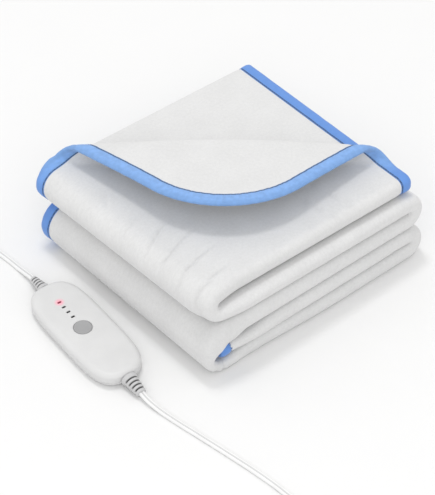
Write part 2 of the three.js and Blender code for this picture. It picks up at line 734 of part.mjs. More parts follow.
const topperEnd = [COIL_TOPPER_CENTRE[0] + COIL_TOPPER.outer_turn,
  COIL_TOPPER_CENTRE[1] - coilEntry(COIL_TOPPER)];
const mainsEnd = [COIL_MAINS_CENTRE[0] + COIL_MAINS.outer_turn,
  COIL_MAINS_CENTRE[1] + coilEntry(COIL_MAINS)];

const topperRoute = [
  reliefTip(TOPPER_RELIEF, false, GAP),
  reliefTip(TOPPER_RELIEF, false, 5),
  [-175.2, 95, 4.2],
  [-175.1, 100, 3.3],
  [-175.1, 105, 2.6],
  [-175.2, 110, 2.1],
  [-175.3, 115, Z],
  [-175.5, 120, Z],
  [-175.8, 125, Z],
  [-176.2, 130, Z],
  [-176.7, 135, Z],
  [-177.3, 140, Z],
  [-177.9, 145, Z],
  [-178.5, 150, Z],
  [-179.2, 158, Z],
  [...topperEnd, Z],
];

const mainsRoute = [
  reliefTip(MAINS_RELIEF, true, GAP),
  reliefTip(MAINS_RELIEF, true, 5),
  [-188.6, -107, 4.2],
  [-187.8, -114.5, 3.1],
  [-186.4, -124.5, 2.2],
  [-184.7, -135, Z],
  [-182.7, -146.5, Z],
  [-180.5, -158, Z],
  [-177.6, -174, Z],
  [-175.2, -187, Z],
  [-173, -200, Z],
  [-168.6, -226, Z],
  [-165.4, -252, Z],
  [-164.2, -274, Z],
  [-164.6, -293, Z],
  [...mainsEnd, Z],
];

addPiece(group, 'lead_topper', leadGeometry(topperRoute, 30), leadLook);
addPiece(group, 'lead_mains', leadGeometry(mainsRoute, 42), leadLook);

const coilTopper = addPiece(group, 'coil_topper', coilGeometry(COIL_TOPPER), leadLook);
coilTopper.position.set(...COIL_TOPPER_CENTRE, COIL_LIFT);
const coilMains = addPiece(group, 'coil_mains', coilGeometry(COIL_MAINS), leadLook);
coilMains.position.set(...COIL_MAINS_CENTRE, COIL_LIFT);

// Tail from a coil toward -X; side is +1 where it leaves at the far side
function addTail(name, coil, centre, side) {
  const y = centre[1] + side * coil.outer_turn;
  const x = centre[0] - coilEntry(coil);
  const points = TAIL_HEIGHTS.map((z, k) => [x - TAIL_LENGTH * k / 2, y, z]);
  addPiece(group, name, leadGeometry(points, 3), leadLook);
  const end = new THREE.Group();
  end.position.set(x - TAIL_LENGTH - GAP, y, 0);
  end.rotation.z = Math.PI;
  group.add(end);
  return end;
}

const topperTail = addTail('tail_topper', COIL_TOPPER, COIL_TOPPER_CENTRE, 1);
addPiece(topperTail, 'connector', endGeometry(CONNECTOR_ROWS), housingLook);

const mainsTail = addTail('tail_mains', COIL_MAINS, COIL_MAINS_CENTRE, -1);
addPiece(mainsTail, 'plug', endGeometry(PLUG_ROWS), housingLook);

const plugFace = PLUG_ROWS[PLUG_ROWS.length - 1][0];
for (const [name, side] of [['pin_1', 1], ['pin_2', -1]]) {
  const pin = addPiece(mainsTail, name, new THREE.CylinderGeometry(PIN.radius, PIN.radius, PIN.length, 12), metalLook);
  pin.rotation.z = Math.PI / 2;
  pin.position.set(plugFace + GAP + PIN.length / 2, side * PIN.pitch / 2, PIN.height);
}

export default group;
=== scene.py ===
import math

import bpy
import numpy as np
from bpy.props import FloatProperty, FloatVectorProperty, PointerProperty
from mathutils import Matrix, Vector


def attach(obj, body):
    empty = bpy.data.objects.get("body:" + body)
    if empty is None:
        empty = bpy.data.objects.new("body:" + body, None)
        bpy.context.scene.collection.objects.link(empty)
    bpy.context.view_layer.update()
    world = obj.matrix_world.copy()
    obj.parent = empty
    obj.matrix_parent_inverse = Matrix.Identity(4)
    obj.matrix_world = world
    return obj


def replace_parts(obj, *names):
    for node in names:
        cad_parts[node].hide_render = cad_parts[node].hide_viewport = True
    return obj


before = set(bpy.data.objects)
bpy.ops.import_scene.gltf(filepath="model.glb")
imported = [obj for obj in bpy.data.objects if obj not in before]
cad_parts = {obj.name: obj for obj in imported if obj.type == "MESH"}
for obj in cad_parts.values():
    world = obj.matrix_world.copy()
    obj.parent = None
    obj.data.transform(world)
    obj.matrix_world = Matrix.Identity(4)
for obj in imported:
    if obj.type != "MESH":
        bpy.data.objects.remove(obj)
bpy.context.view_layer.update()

bl_info = {
    "name": "Heated topper",
    "version": (1, 0, 0),
    "blender": (4, 5, 0),
    "location": "View3D > Sidebar > Topper",
    "description": "Builds a folded heated mattress topper with its controller and leads",
    "category": "Object",
}

MM = 0.001
GAP = 0.3

# The folded cloth, in millimetres

CLOTH = 4.8
LEAF_PITCH = 6.5
CORNER_RADIUS = 98.0
BAND_WIDTH = 13.0
LEG_TOP, LEG_SECOND, LEG_THIRD, LEG_BOTTOM, LEG_TUCKED = 87.4, 67.8, 48.2, 8.9, 28.5
TOP_END_X, TUCKED_END_X = 126.0, -108.0
LEFT_UPPER_X, LEFT_LOWER_X = -131.0, -134.4
RIGHT_UPPER_X, RIGHT_LOWER_X = 134.0, 137.0
LEG_SIDE = LEAF_PITCH + CLOTH / 2
HALF_WIDTH = 125.0
NEAR_HEIGHT_FACTOR, FAR_HEIGHT_FACTOR = 1.03, 0.89
FREE_EDGE_Y_TOP, FREE_EDGE_Y_WRAP = 124.3, 122.6
LEAF_1_WIDTH = 240.0
NEAR_FOLD_LENGTH = math.pi * LEAF_PITCH
FAR_FOLD_RADIUS = LEAF_PITCH / 2
FAR_FOLD_DEPTH = 2.9
FAR_FOLD_LENGTH = math.pi * FAR_FOLD_RADIUS
LEAF_2_SHORTENING, LEAF_3_WIDTH = 7.0, 225.0
NEAR_FOLD_SHARE, NEAR_FOLD_LIMIT = 1.15, 8.0
NEAR_FOLD_SQUARENESS, SQUARE_FROM = 2.8, (3.0, 6.0)
NEAR_RAMP = (17.0, 29.0)
SWELL, SWELL_OVER_HOLLOW, PINCH_AT_HOLLOW = 6.7, 5.5, 1.2
# Ramps along the strip, counted from the wrap's start, middle or end
SWELL_RISE, SWELL_FALL, PINCH_RISE, SWELL_RETURN = (-20.0, -2.0), (-14.0, 4.0), (-8.0, 10.0), (-14.0, 44.0)
INSET_RISE, INSET_FALL = (-10.0, 20.0), (10.0, 130.0)
NEAR_LIFT = 4.8
LIFT_RAMP = (4.0, 29.0)
TUCKED_DIP, TUCKED_DIP_RAMP = 4.2, (62.0, 26.0)
CORNER_REACH, CORNER_DROOP, CORNER_BACK = 7.0, 3.8, 5.0
CORNER_LENGTH, CORNER_RAMP = (40.0, 12.0), (12.0, 38.0)
NEAR_INSET = 4.2
SET_BACK = 30.0
TURN_START_PAST_LEG, TURN_END_ACROSS = 11.1, 231.6
ROLL_LEFT, ROLL_MIDDLE, ROLL_RIGHT = 10.0, 13.2, 10.0
ROLL_ANGLE = math.radians(174.5)
TURNED_REACH = 1.14
SLOPE_STEP = 0.5
# How far before the top leg's end and before the wrap the free edge starts and ends its way in
FREE_EDGE_LEAD = (20.0, 60.0)
# Shift of the top leg toward the far side: at its end, what its fold adds, and how far before and beyond
# that fold the fade reaches
TOP_SHIFT, TOP_SHIFT_FOLD, TOP_SHIFT_FADE = 9.0, 4.0, 30.0
# Shift toward the right: the top leg's end at its near and its far side, and its fold's far side, which
# comes in along the ramp toward the left
END_NEAR, END_FAR, FOLD_FAR, FOLD_RAMP = -3.0, 10.0, -4.0, (-60.0, 120.0)


def ease(x, start, end):
    u = np.clip((x - start) / (end - start), 0, 1)
    return u * u * (3 - 2 * u)


def past(place, ramp):
    """The ramp's two distances, counted from a place."""
    return [place + distance for distance in ramp]


def between(x, rise, fall):
    """0 before the rise, 1 from its end to the fall's start, and 0 after the fall."""
    return ease(x, *rise) * (1 - ease(x, *fall))


def path_rows():
    """Legs and half-round turns of the strip's middle line.

    Each row holds its start and end along the line, the x and z it starts from or turns about, its way
    along x, its radius, and the first angle and sweep of the direction toward leaf 1.
    """
    rows, start, x, way, angle = [], 0.0, TOP_END_X, -1, 90
    for height, after, fold_x, hand in ((LEG_TOP, LEG_SECOND, LEFT_UPPER_X, 1),
                                        (LEG_SECOND, LEG_THIRD, RIGHT_UPPER_X, -1),
                                        (LEG_THIRD, LEG_BOTTOM, LEFT_LOWER_X, 1),
                                        (LEG_BOTTOM, LEG_TUCKED, RIGHT_LOWER_X, 1)):
        radius = abs(height - after) / 2
        centre = fold_x - way * radius - way * LEG_SIDE
        fold = start + abs(centre - x)
        rows.append((start, fold, x, height, way, 0, angle, 0))
        start = fold + math.pi * radius
        rows.append((fold, start, centre, (height + after) / 2, 0, hand * radius, angle, hand * 180))
        x, way, angle = centre, -way, angle + hand * 180
    rows.append((start, start + abs(TUCKED_END_X - x), x, LEG_TUCKED, way, 0, angle, 0))
    return np.array(rows)


PATH = path_rows()
STRIP_LENGTH = float(PATH[-1][1])
TOP_LEG_END, UPPER_TURN_END = PATH[0][1], PATH[1][1]
WRAP_START, WRAP_END = PATH[5][0], PATH[5][1]
WRAP_MIDDLE = (WRAP_START + WRAP_END) / 2
FAR_FOLD_Y = HALF_WIDTH - CLOTH / 2 - FAR_FOLD_RADIUS
LEAF_2_START = LEAF_1_WIDTH + NEAR_FOLD_LENGTH
LEAF_2_END = LEAF_2_START + 2 * HALF_WIDTH - CLOTH - FAR_FOLD_RADIUS - LEAF_2_SHORTENING
LEAF_3_START = LEAF_2_END + FAR_FOLD_LENGTH
STRIP_WIDTH = LEAF_3_START + LEAF_3_WIDTH


def path_at(s):
    """x, z and the direction toward leaf 1 of the middle line at arc length s."""
    row = np.maximum(np.searchsorted(PATH[:, 0], s, side="right") - 1, 0)
    start, end, x, z, way, radius, angle, sweep = np.moveaxis(PATH[row], -1, 0)
    a = np.radians(angle + sweep * (s - start) / (end - start))
    nx, nz = np.cos(a), np.sin(a)
    return x + way * (s - start) + radius * nx, z + radius * nz, nx, nz


def free_edge_y(s):
    way_in = ease(s, TOP_LEG_END - FREE_EDGE_LEAD[0], WRAP_START - FREE_EDGE_LEAD[1])
    return FREE_EDGE_Y_TOP + (FREE_EDGE_Y_WRAP - FREE_EDGE_Y_TOP) * way_in


def side_shift(s):
    on_leg = TOP_SHIFT + TOP_SHIFT_FOLD * np.clip(s / TOP_LEG_END, 0, 1)
    return on_leg * (1 - ease(s, TOP_LEG_END - TOP_SHIFT_FADE, UPPER_TURN_END + TOP_SHIFT_FADE))


def end_shift(s, y, x):
    far = (y + HALF_WIDTH) / (2 * HALF_WIDTH)
    end = 1 - ease(s, 0, TOP_LEG_END)
    at_end = (END_FAR - END_NEAR) * far + END_NEAR
    return at_end * end + FOLD_FAR * far * (1 - end) * ease(-x, *FOLD_RAMP)


def swell(s):
    """How far leaf 2 bulges away from leaf 1 beside the near fold."""
    over = SWELL_OVER_HOLLOW * between(s, past(WRAP_START, SWELL_RISE), past(WRAP_MIDDLE, SWELL_FALL))
    p = SWELL + over
    pinched = between(s, past(WRAP_MIDDLE, PINCH_RISE), past(WRAP_END, SWELL_RETURN))
    return p - (p + PINCH_AT_HOLLOW) * pinched


def lift(s):
    """How far leaf 1 is raised beside the near fold where the second and third legs meet."""
    second = ease(s, TOP_LEG_END, UPPER_TURN_END) * np.clip(
        (PATH[2][1] - s) / (PATH[2][1] - PATH[2][0]), 0, 1)
    third = (1 - ease(s, WRAP_START, WRAP_MIDDLE)) * np.clip(
        (s - PATH[4][0]) / (PATH[4][1] - PATH[4][0]), 0, 1)
    return NEAR_LIFT * (third - second)


def leaf_1_at(s, y):
    """Offset of leaf 1 from the leg's middle."""
    dip = TUCKED_DIP * ease(s, *(STRIP_LENGTH - d for d in TUCKED_DIP_RAMP))
    return LEAF_PITCH + lift(s) * near_side(y, LIFT_RAMP) - dip * near_side(y, NEAR_RAMP)


def near_inset(s, y):
    """The near side draws in round the lower part of the wrap."""
    around = between(s, past(WRAP_MIDDLE, INSET_RISE), past(WRAP_END, INSET_FALL))
    return NEAR_INSET * around * (HALF_WIDTH - y) / (2 * HALF_WIDTH)


def near_side(y, ramp):
    return 1 - ease(y, *past(-HALF_WIDTH, ramp))


def across_at(s, v):
    """Place across the strip: y, and the offset from the leg's middle toward leaf 1."""
    puff = swell(s)
    depth = np.minimum(NEAR_FOLD_SHARE * (LEAF_PITCH + puff) / 2, NEAR_FOLD_LIMIT)
    fold_y = -HALF_WIDTH + CLOTH / 2 + depth
    near = (v - LEAF_1_WIDTH) / NEAR_FOLD_LENGTH * math.pi
    far = (v - LEAF_2_END) / FAR_FOLD_LENGTH * math.pi
    n = 2 + (NEAR_FOLD_SQUARENESS - 2) * ease((LEAF_PITCH + puff) / 2, *SQUARE_FROM)
    square = (np.abs(np.sin(near)) ** n + np.abs(np.cos(near)) ** n) ** (1 / n)
    start = leaf_1_at(s, fold_y)
    end = -puff * near_side(fold_y, NEAR_RAMP)
    y1 = fold_y + (free_edge_y(s) - fold_y) * (1 - v / LEAF_1_WIDTH)
    y2 = fold_y + (FAR_FOLD_Y - fold_y) * (v - LEAF_2_START) / (LEAF_2_END - LEAF_2_START)
    y3 = FAR_FOLD_Y - (FAR_FOLD_Y + HALF_WIDTH - SET_BACK) * (v - LEAF_3_START) / LEAF_3_WIDTH
    where = [v < LEAF_1_WIDTH, v < LEAF_2_START, v < LEAF_2_END, v < LEAF_3_START]
    y = np.select(where, [
        y1,
        fold_y - depth * np.sin(near) / square,
        y2,
        FAR_FOLD_Y + FAR_FOLD_DEPTH * np.sin(far),
    ], y3)
    t = np.select(where, [
        leaf_1_at(s, y1),
        (start + end) / 2 + (start - end) / 2 * np.cos(near) / square,
        -puff * near_side(y2, NEAR_RAMP),
        FAR_FOLD_RADIUS * (np.cos(far) - 1),
    ], -LEAF_PITCH)
    return y, t


def folded_at(s, v):
    """Folded place of the flat point (s, v), before the corner is turned over."""
    y, t = across_at(s, v)
    x, z, nx, nz = path_at(s)
    start, full = (STRIP_LENGTH - d for d in CORNER_LENGTH)
    corner = near_side(y, CORNER_RAMP) * ease(s, start, full)
    moved_y = y + side_shift(s) + near_inset(s, y) + CORNER_BACK * corner
    factor_y = (moved_y + HALF_WIDTH) / (2 * HALF_WIDTH)
    factor = NEAR_HEIGHT_FACTOR + (FAR_HEIGHT_FACTOR - NEAR_HEIGHT_FACTOR) * factor_y
    height = CLOTH / 2 + (z + t * nz - CLOTH / 2 - CORNER_DROOP * corner) * factor
    return np.stack([x + end_shift(s, y, x) + t * nx - CORNER_REACH * corner, moved_y, height], -1)


TURN_A = np.array([TOP_LEG_END + TURN_START_PAST_LEG, 0.0])
TURN_B = np.array([0.0, TURN_END_ACROSS])
TURN_LENGTH = float(np.hypot(*(TURN_B - TURN_A)))
TURN_ALONG = (TURN_B - TURN_A) / TURN_LENGTH
TURN_OUT = np.array([TURN_ALONG[1], -TURN_ALONG[0]])
if TURN_OUT @ TURN_A > 0:
    TURN_OUT = -TURN_OUT


def unit(a):
    return a / np.maximum(np.linalg.norm(a, axis=-1, keepdims=True), 1e-9)


def cloth_at(s, v):
    """Place of the flat point (s, v) in the folded topper, with its corner turned over."""
    place = folded_at(s, v)
    from_a = np.stack([s, v], -1) - TURN_A
    d = from_a @ TURN_OUT
    turned = (d > 0) & (v < LEAF_1_WIDTH) & (s < UPPER_TURN_END)
    if not turned.any():
        return place
    d = d[turned]
    w = from_a[turned] @ TURN_ALONG / TURN_LENGTH
    k = np.clip(w, 0, 1)
    radius = ROLL_LEFT + (ROLL_RIGHT - ROLL_LEFT) * k
    radius = radius + (ROLL_MIDDLE - (ROLL_LEFT + ROLL_RIGHT) / 2) * np.sin(math.pi * k)
    angle = np.minimum(d / radius, ROLL_ANGLE)
    rest = np.maximum(d - radius * ROLL_ANGLE, 0) * TURNED_REACH
    out = radius * np.sin(angle) + rest * math.cos(ROLL_ANGLE)
    up = radius * (1 - np.cos(angle)) + rest * math.sin(ROLL_ANGLE)
    base = TURN_A + w[:, None] * TURN_LENGTH * TURN_ALONG

    def slope(direction):
        step = SLOPE_STEP * direction
        ahead, behind = base + step, base - step
        return unit(folded_at(*ahead.T) - folded_at(*behind.T))

    along, outward = slope(TURN_ALONG), slope(TURN_OUT)
    outward = unit(outward - along * (outward * along).sum(-1, keepdims=True))
    normal = np.cross(along, outward)
    normal *= np.sign(normal[:, 2:3])
    place[turned] = folded_at(*base.T) + outward * out[:, None] + normal * up[:, None]
    return place


def cloth_normal(s, v):
    h = SLOPE_STEP
    along = cloth_at(s + h, v) - cloth_at(s - h, v)
    across = cloth_at(s, v + h) - cloth_at(s, v - h)
    return unit(np.cross(along, across))


def round_corner(s, v, inset):
    """Rounded-off place of a point of the flat rectangle that starts at inset from the cloth's edge."""
    r = CORNER_RADIUS - inset
    sign_s = np.where(s < STRIP_LENGTH / 2, -1, 1)
    sign_v = np.where(v < STRIP_WIDTH / 2, -1, 1)
    cs = np.where(sign_s < 0, inset + r, STRIP_LENGTH - inset - r)
    cv = np.where(sign_v < 0, inset + r, STRIP_WIDTH - inset - r)
    p = (s - cs) / r * sign_s
    q = (v - cv) / r * sign_v
    corner = (p > 0) & (q > 0)
    x = p * np.sqrt(np.maximum(1 - q * q / 2, 0))
    y = q * np.sqrt(np.maximum(1 - p * p / 2, 0))
    return np.where(corner, cs + sign_s * r * x, s), np.where(corner, cv + sign_v * r * y, v)


def edge_distance(s, v):
    """How far a flat point lies inside the cloth's rounded outline."""
    r = CORNER_RADIUS
    ds = np.minimum(s, STRIP_LENGTH - s)
    dv = np.minimum(v, STRIP_WIDTH - v)
    in_corner = (ds < r) & (dv < r)
    return np.where(in_corner, r - np.hypot(r - ds, r - dv), np.minimum(ds, dv))


def outward_at(s, v):
    """Direction out of the flat outline at points near it."""
    r = CORNER_RADIUS
    ds = s - np.clip(s, r, STRIP_LENGTH - r)
    dv = v - np.clip(v, r, STRIP_WIDTH - r)
    return unit(np.stack([ds, dv], -1))


def stations(bounds, cells):
    parts = [np.linspace(a, b, n, endpoint=False) for a, b, n in zip(bounds, bounds[1:], cells)]
    return np.concatenate(parts + [np.array([bounds[-1]])])


def rim_order(ns, nv):
    """Places of the rim's points in a grid of ns by nv, once round."""
    i, j = np.indices((ns, nv))
    sides = [(0, slice(0, -1)), (slice(0, -1), -1), (-1, slice(None, 0, -1)), (slice(None, 0, -1), 0)]
    return np.concatenate([np.stack([i[side], j[side]], -1) for side in sides])


# Name of the values that a mesh holds for its finish
MARKS = "flat"

# Edge tape and stitches, in millimetres

TAPE_OUTER = 0.3
TAPE_THICKNESS = 0.35
TAPE_RIB = 0.9
SEAM_INSET = 12.2
# Distance in from the cloth's edge and half thickness, along the tape's outer and inner sides
TAPE_OUTSIDE = [(BAND_WIDTH + GAP, 2.1), (12.9, 2.3), (SEAM_INSET, 2.05), (11.5, 2.42), (10.0, 2.7),
                (7.8, 2.9), (5.4, 2.92), (3.4, 2.72), (1.9, 2.25), (1.0, 1.6), (0.5, 0.95), (TAPE_OUTER, 0.0)]
TAPE_HOLLOW = 2.2 - TAPE_THICKNESS
TAPE_INSIDE = [(BAND_WIDTH + GAP, TAPE_HOLLOW), (4.0, TAPE_HOLLOW), (1.6, TAPE_HOLLOW * 0.8), (1.1, 0.0)]
# Waves of the tape's unevenness, in radians a millimetre
PUCKER_QUICK, PUCKER_DRIFT, PUCKER_SLOW = 0.83, 0.11, 0.31
# Painted shade on the tape away from the turned-over corner: its share, and its fade across the turn's edge
TAPE_SHADE_SHARE, TAPE_SHADE_FADE = 0.75, (-6, 14)
STITCH_SHARE, STITCH_RISE, STITCH_RADIUS, STITCH_SIDES = 0.74, 0.42, 0.3, 5
STITCH_FOOT = 2.1 - 0.25
# Places along a stitch and its thickness there, as shares
STITCH_SHAPE = [(0.06, 0.35), (0.25, 0.9), (0.5, 1.0), (0.75, 0.9), (0.94, 0.35)]

# The sheet's mesh, in millimetres

SHEET_INSET = 7.0
SHEET_UNDER_TAPE = 1.8
PINCH = (12.4, 19.0)
FLOOR_CLEARANCE = 0.05
# Set apart from the upper side, so that the cloth's grain differs there
UNDER_SIDE = (0, 0, 40)
# Soft dents on the flat cloth: start along and across, end along and across, half width and depth
DENTS = [(226, 76, 240, 94, 1.7, 1.4), (222, 120, 244, 127, 1.7, 1.6), (214, 147, 246, 160, 1.7, 2.2),
         (206, 172, 246, 183, 1.7, 2.4), (206, 201, 248, 208, 1.7, 2.5), (212, 229, 250, 233, 1.6, 2.2),
         (104, 196, 92, 248, 1.6, 1.5), (80, 190, 71, 248, 1.6, 1.4), (798, 240, 799, 262, 1.6, 1.1),
         (805, 242, 805, 263, 1.6, 1.3), (812, 243, 812, 262, 1.6, 1.1), (821, 246, 825, 262, 1.8, 1.4),
         (844, 246, 842, 260, 1.4, 1.3), (1066, 238, 1072, 254, 1.8, 1.2), (1079, 240, 1084, 254, 1.8, 1.3),
         (1098, 240, 1094, 256, 2.0, 1.0)]
# A dent's ends fade over this length, and a low ridge lies beside it, this many half widths aside
DENT_FADE, RIDGE_SHARE, RIDGE_ASIDE = 9.0, 0.6, 1.7
SWELL_LEAD, RAMP_REACH = 24.0, 20.0
ALONG_STOPS = [TOP_LEG_END, UPPER_TURN_END, PATH[2][1], PATH[3][1], WRAP_START - SWELL_LEAD, WRAP_START,
               WRAP_END, PATH[6][1], PATH[7][1]]
ALONG_CELLS = [64, 22, 26, 14, 18, 8, 34, 30, 14, 24]
ACROSS_STOPS = [LEAF_1_WIDTH, LEAF_2_START, LEAF_2_START + RAMP_REACH, LEAF_2_END, LEAF_3_START]
ACROSS_CELLS = [96, 16, 10, 20, 8, 22]

# Finishes: grains per millimetre, borders and reaches in millimetres

NAP_SCALE, TUFT_SCALE, CLOUD_SCALE = 1.1, 0.35, 0.035
WEAR_SCALE, TWIST_SCALE, FINE_SCALE, BROAD_SCALE = 0.2, 2.2, 1.6, 0.05
# Borders of the seam line, and of the painted shade toward the tape's outer and inner sides
SEAM_BORDER, OUTER_EDGE_SHADE, INNER_EDGE_SHADE = (0.4, 1.0), (1.5, 5.5), (9.5, 11.5)
GLOW_REACH = (1.4, 6.0)
SPECK_SCALE = 0.02
NICKEL, DRAWN_GRAIN = (0.72, 0.71, 0.68), (0.3, 3.0, 3.0)


# Meshes

def placed(x, y, z):
    """Points from their coordinates, each of which may be one number for all."""
    return np.stack(np.broadcast_arrays(x, y, z), -1)


def turns(count, start=0.0):
    """Angles evenly round a circle."""
    return 2 * math.pi * (np.arange(count) + start) / count


def in_scene(name, data):
    thing = bpy.data.objects.new(name, data)
    bpy.context.scene.collection.objects.link(thing)
    return thing


def new_mesh(name, points, faces):
    mesh = bpy.data.meshes.new(name)
    mesh.from_pydata((points * MM).tolist(), [], faces)
    return mesh


def new_piece(name, shape, finish, sharp=None):
    """Smooth piece that rides on the one body; edges over sharp degrees stay crisp.

    The shape holds points in millimetres and faces, and may hold what the finish reads at each point.
    """
    points, faces, *marks = shape
    mesh = new_mesh(name, points, faces)
    mesh.validate()
    mesh.update()
    for values in marks:
        layer = mesh.attributes.new(MARKS, "FLOAT_VECTOR", "POINT")
        layer.data.foreach_set("vector", values.astype(np.float32).ravel())
    mesh.materials.append(finish)
    mesh.shade_smooth()
    if sharp is not None:
        mesh.set_sharp_from_angle(angle=math.radians(sharp))
    piece = in_scene(name, mesh)
    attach(piece, "root")
    return piece


def face_out(points, faces):
    """Faces turned so that the closed mesh holds a positive volume."""
    p = (points - points.mean(0))[np.array([f[:3] for f in faces])]
    volume = np.einsum("ij,ij->i", p[:, 0], np.cross(p[:, 1], p[:, 2])).sum()
    return [f[::-1] for f in faces] if volume < 0 else faces


def ring_faces(m, n, closed=False):
    """Faces between m rings of n points, with flat ends; closed joins the last ring to the first instead."""
    k, i = np.meshgrid(np.arange(m if closed else m - 1), np.arange(n), indexing="ij")
    k2, i2 = (k + 1) % m, (i + 1) % n
    faces = np.stack([k * n + i, k * n + i2, k2 * n + i2, k2 * n + i], -1).reshape(-1, 4).tolist()
    return faces if closed else faces + [list(range(n))[::-1], list(range((m - 1) * n, m * n))]


def rings_mesh(rings, closed=False):
    """Skin over closed rings."""
    points = np.concatenate(rings)
    return points, face_out(points, ring_faces(len(rings), len(rings[0]), closed))


# Shader maths

class Wire:
    """A socket that can stand in plain expressions; each operator adds its Math node."""

    def __init__(self, finish, socket):
        self.finish = finish
        self.socket = socket

    def maths(self, operation, *values):
        return self.finish.node("ShaderNodeMath", {"operation": operation}, dict(enumerate(values)))

    def __add__(self, other):
        return self.maths("ADD", self, other)

    def __sub__(self, other):
        return self.maths("SUBTRACT", self, other)

    def __rsub__(self, other):
        return self.maths("SUBTRACT", other, self)

    def __mul__(self, other):
        return self.maths("MULTIPLY", self, other)

    def __abs__(self):
        return self.maths("ABSOLUTE", self)

    __radd__ = __add__
    __rmul__ = __mul__

    def sine(self):
        return self.maths("SINE", self)

    def rise(self, low, high):
        """0 below low, 1 above high and smooth between."""
        return self.finish.node("ShaderNodeMapRange", {"interpolation_type": "SMOOTHSTEP"},
                                {"Value": self, "From Min": low, "From Max": high})


class Finish:
    """One material: its shader's own constants, and what varies over the surface."""

    def __init__(self, name, colour, roughness, **constants):
        self.material = bpy.data.materials.new(name)
        self.material.use_nodes = True
        self.tree = self.material.node_tree
        self.shader = self.tree.nodes["Principled BSDF"]
        self.colour = tuple(colour)
        self.material.diffuse_color = (*self.colour, 1)
        self.set("Base Color", (*self.colour, 1))
        self.set("Roughness", roughness)
        for key, value in constants.items():
            self.set(key.replace("_", " "), value)

    def feed(self, socket, value):
        if isinstance(value, Wire):
            self.tree.links.new(value.socket, socket)
        else:
            socket.default_value = value

    def set(self, key, value):
        self.feed(self.shader.inputs[key], value)

    def node(self, kind, settings=None, inputs=None, output=0):
        node = self.tree.nodes.new(kind)
        for key, value in (settings or {}).items():
            setattr(node, key, value)
        for key, value in (inputs or {}).items():
            self.feed(node.inputs[key], value)
        return Wire(self, node.outputs[output])

    def marks(self):
        """What the mesh holds at each point: on cloth its flat place in millimetres; on tape its place along
        and in from the edge in millimetres, and the share of painted shade there; on leads and sleeves the
        mask of painted shade in their grooves.
        """
        return self.node("ShaderNodeAttribute", {"attribute_name": MARKS}, output=1)

    def place(self):
        """Place in the row frame, in millimetres."""
        metres = self.node("ShaderNodeTexCoord", output=3)
        return self.scaled(metres, (1 / MM, 1 / MM, 1 / MM))

    def scaled(self, vector, factors):
        return self.node("ShaderNodeVectorMath", {"operation": "MULTIPLY"}, {0: vector, 1: factors})

    def parts(self, vector):
        first = self.node("ShaderNodeSeparateXYZ", None, {0: vector})
        return [Wire(self, out) for out in first.socket.node.outputs]

    def noise(self, vector, scale, detail=2.0, roughness=0.5):
        """Noise about 0.5; scale is grains per unit of the vector."""
        return self.node("ShaderNodeTexNoise", None,
                         {"Vector": vector, "Scale": scale, "Detail": detail, "Roughness": roughness})

    def mixed(self, mask, first, second):
        """Colour that goes from first to second with the mask."""
        return self.node("ShaderNodeMix", {"data_type": "RGBA"}, {0: mask, 6: first, 7: second}, output=2)

    def shade(self, factor):
        """The finish's own colour, made darker or lighter."""
        return (*(min(c * factor, 1.0) for c in self.colour), 1)

    def varied(self, mask, low, high):
        """The finish's own colour, from its low to its high shade with the mask."""
        return self.mixed(mask, self.shade(low), self.shade(high))

    def bump(self, height, distance, strength=1.0):
        """Height from 0 to 1 stands for that distance in millimetres."""
        self.set("Normal", self.node("ShaderNodeBump", None,
                                     {"Height": height, "Distance": distance * MM, "Strength": strength}))


def cloth_finish(settings):
    finish = Finish("cloth finish", settings.colour, 0.95, Sheen_Weight=0.25, Sheen_Roughness=0.6,
                    Specular_IOR_Level=0.2)
    flat = finish.marks()
    nap = finish.noise(flat, NAP_SCALE, 4, 0.65)
    tuft = finish.noise(flat, TUFT_SCALE, 2)
    cloud = finish.noise(flat, CLOUD_SCALE, 3)
    tone = (nap * 0.45 + tuft * 0.3 + cloud * 0.25).rise(0.32, 0.68)
    finish.set("Base Color", finish.varied(tone, 0.93, 1.05))
    finish.set("Roughness", 0.9 + nap * 0.1)
    finish.bump(nap * 0.6 + tuft * 0.4, settings.nap_height / MM, 0.8)
    return finish.material


def tape_finish(settings):
    finish = Finish("edge tape finish", settings.colour, 0.75, Sheen_Weight=0.15, Sheen_Roughness=0.5,
                    Specular_IOR_Level=0.35)
    flat = finish.marks()
    # The tape's marks: place along it, distance in from the cloth's edge, and share of painted shade
    along, across, deep = finish.parts(flat)
    rib = (along * (2 * math.pi / TAPE_RIB)).sine() * (across * (math.pi / TAPE_RIB)).sine() * 0.5 + 0.5
    worn = finish.noise(flat, WEAR_SCALE, 3)
    # Dark seam line: the seam's own line, darkened further with painted shade near the tape's inner edge
    seam = 1 - abs(across - SEAM_INSET).rise(*SEAM_BORDER)
    # Painted shade toward the tape's outer edge and its inner side, where the rounded tape turns from the
    # light
    rounded = 1 - across.rise(*OUTER_EDGE_SHADE) * (1 - across.rise(*INNER_EDGE_SHADE))
    cloth = finish.varied(worn.rise(0.3, 0.7) * 0.75 + rib * 0.25, 0.88, 1.08)
    cloth = finish.mixed(rounded * 0.4, cloth, finish.shade(0.72))
    # Painted shade: the tape away from the turned-over corner goes toward its shaded colour
    cloth = finish.mixed(deep, cloth, (*settings.shaded_tape_colour, 1))
    finish.set("Base Color", finish.mixed(seam, cloth, finish.shade(settings.seam_shade)))
    finish.set("Roughness", 0.68 + rib * 0.14)
    finish.bump(rib * (1 - seam) + worn * 0.6, 0.16, 0.7)
    return finish.material


def thread_finish(settings):
    finish = Finish("thread finish", settings.stitch_colour, 0.6, Sheen_Weight=0.1)
    twist = finish.noise(finish.place(), TWIST_SCALE, 2)
    finish.set("Base Color", finish.varied(twist.rise(0.35, 0.65), 0.8, 1.1))
    finish.bump(twist, 0.08)
    return finish.material


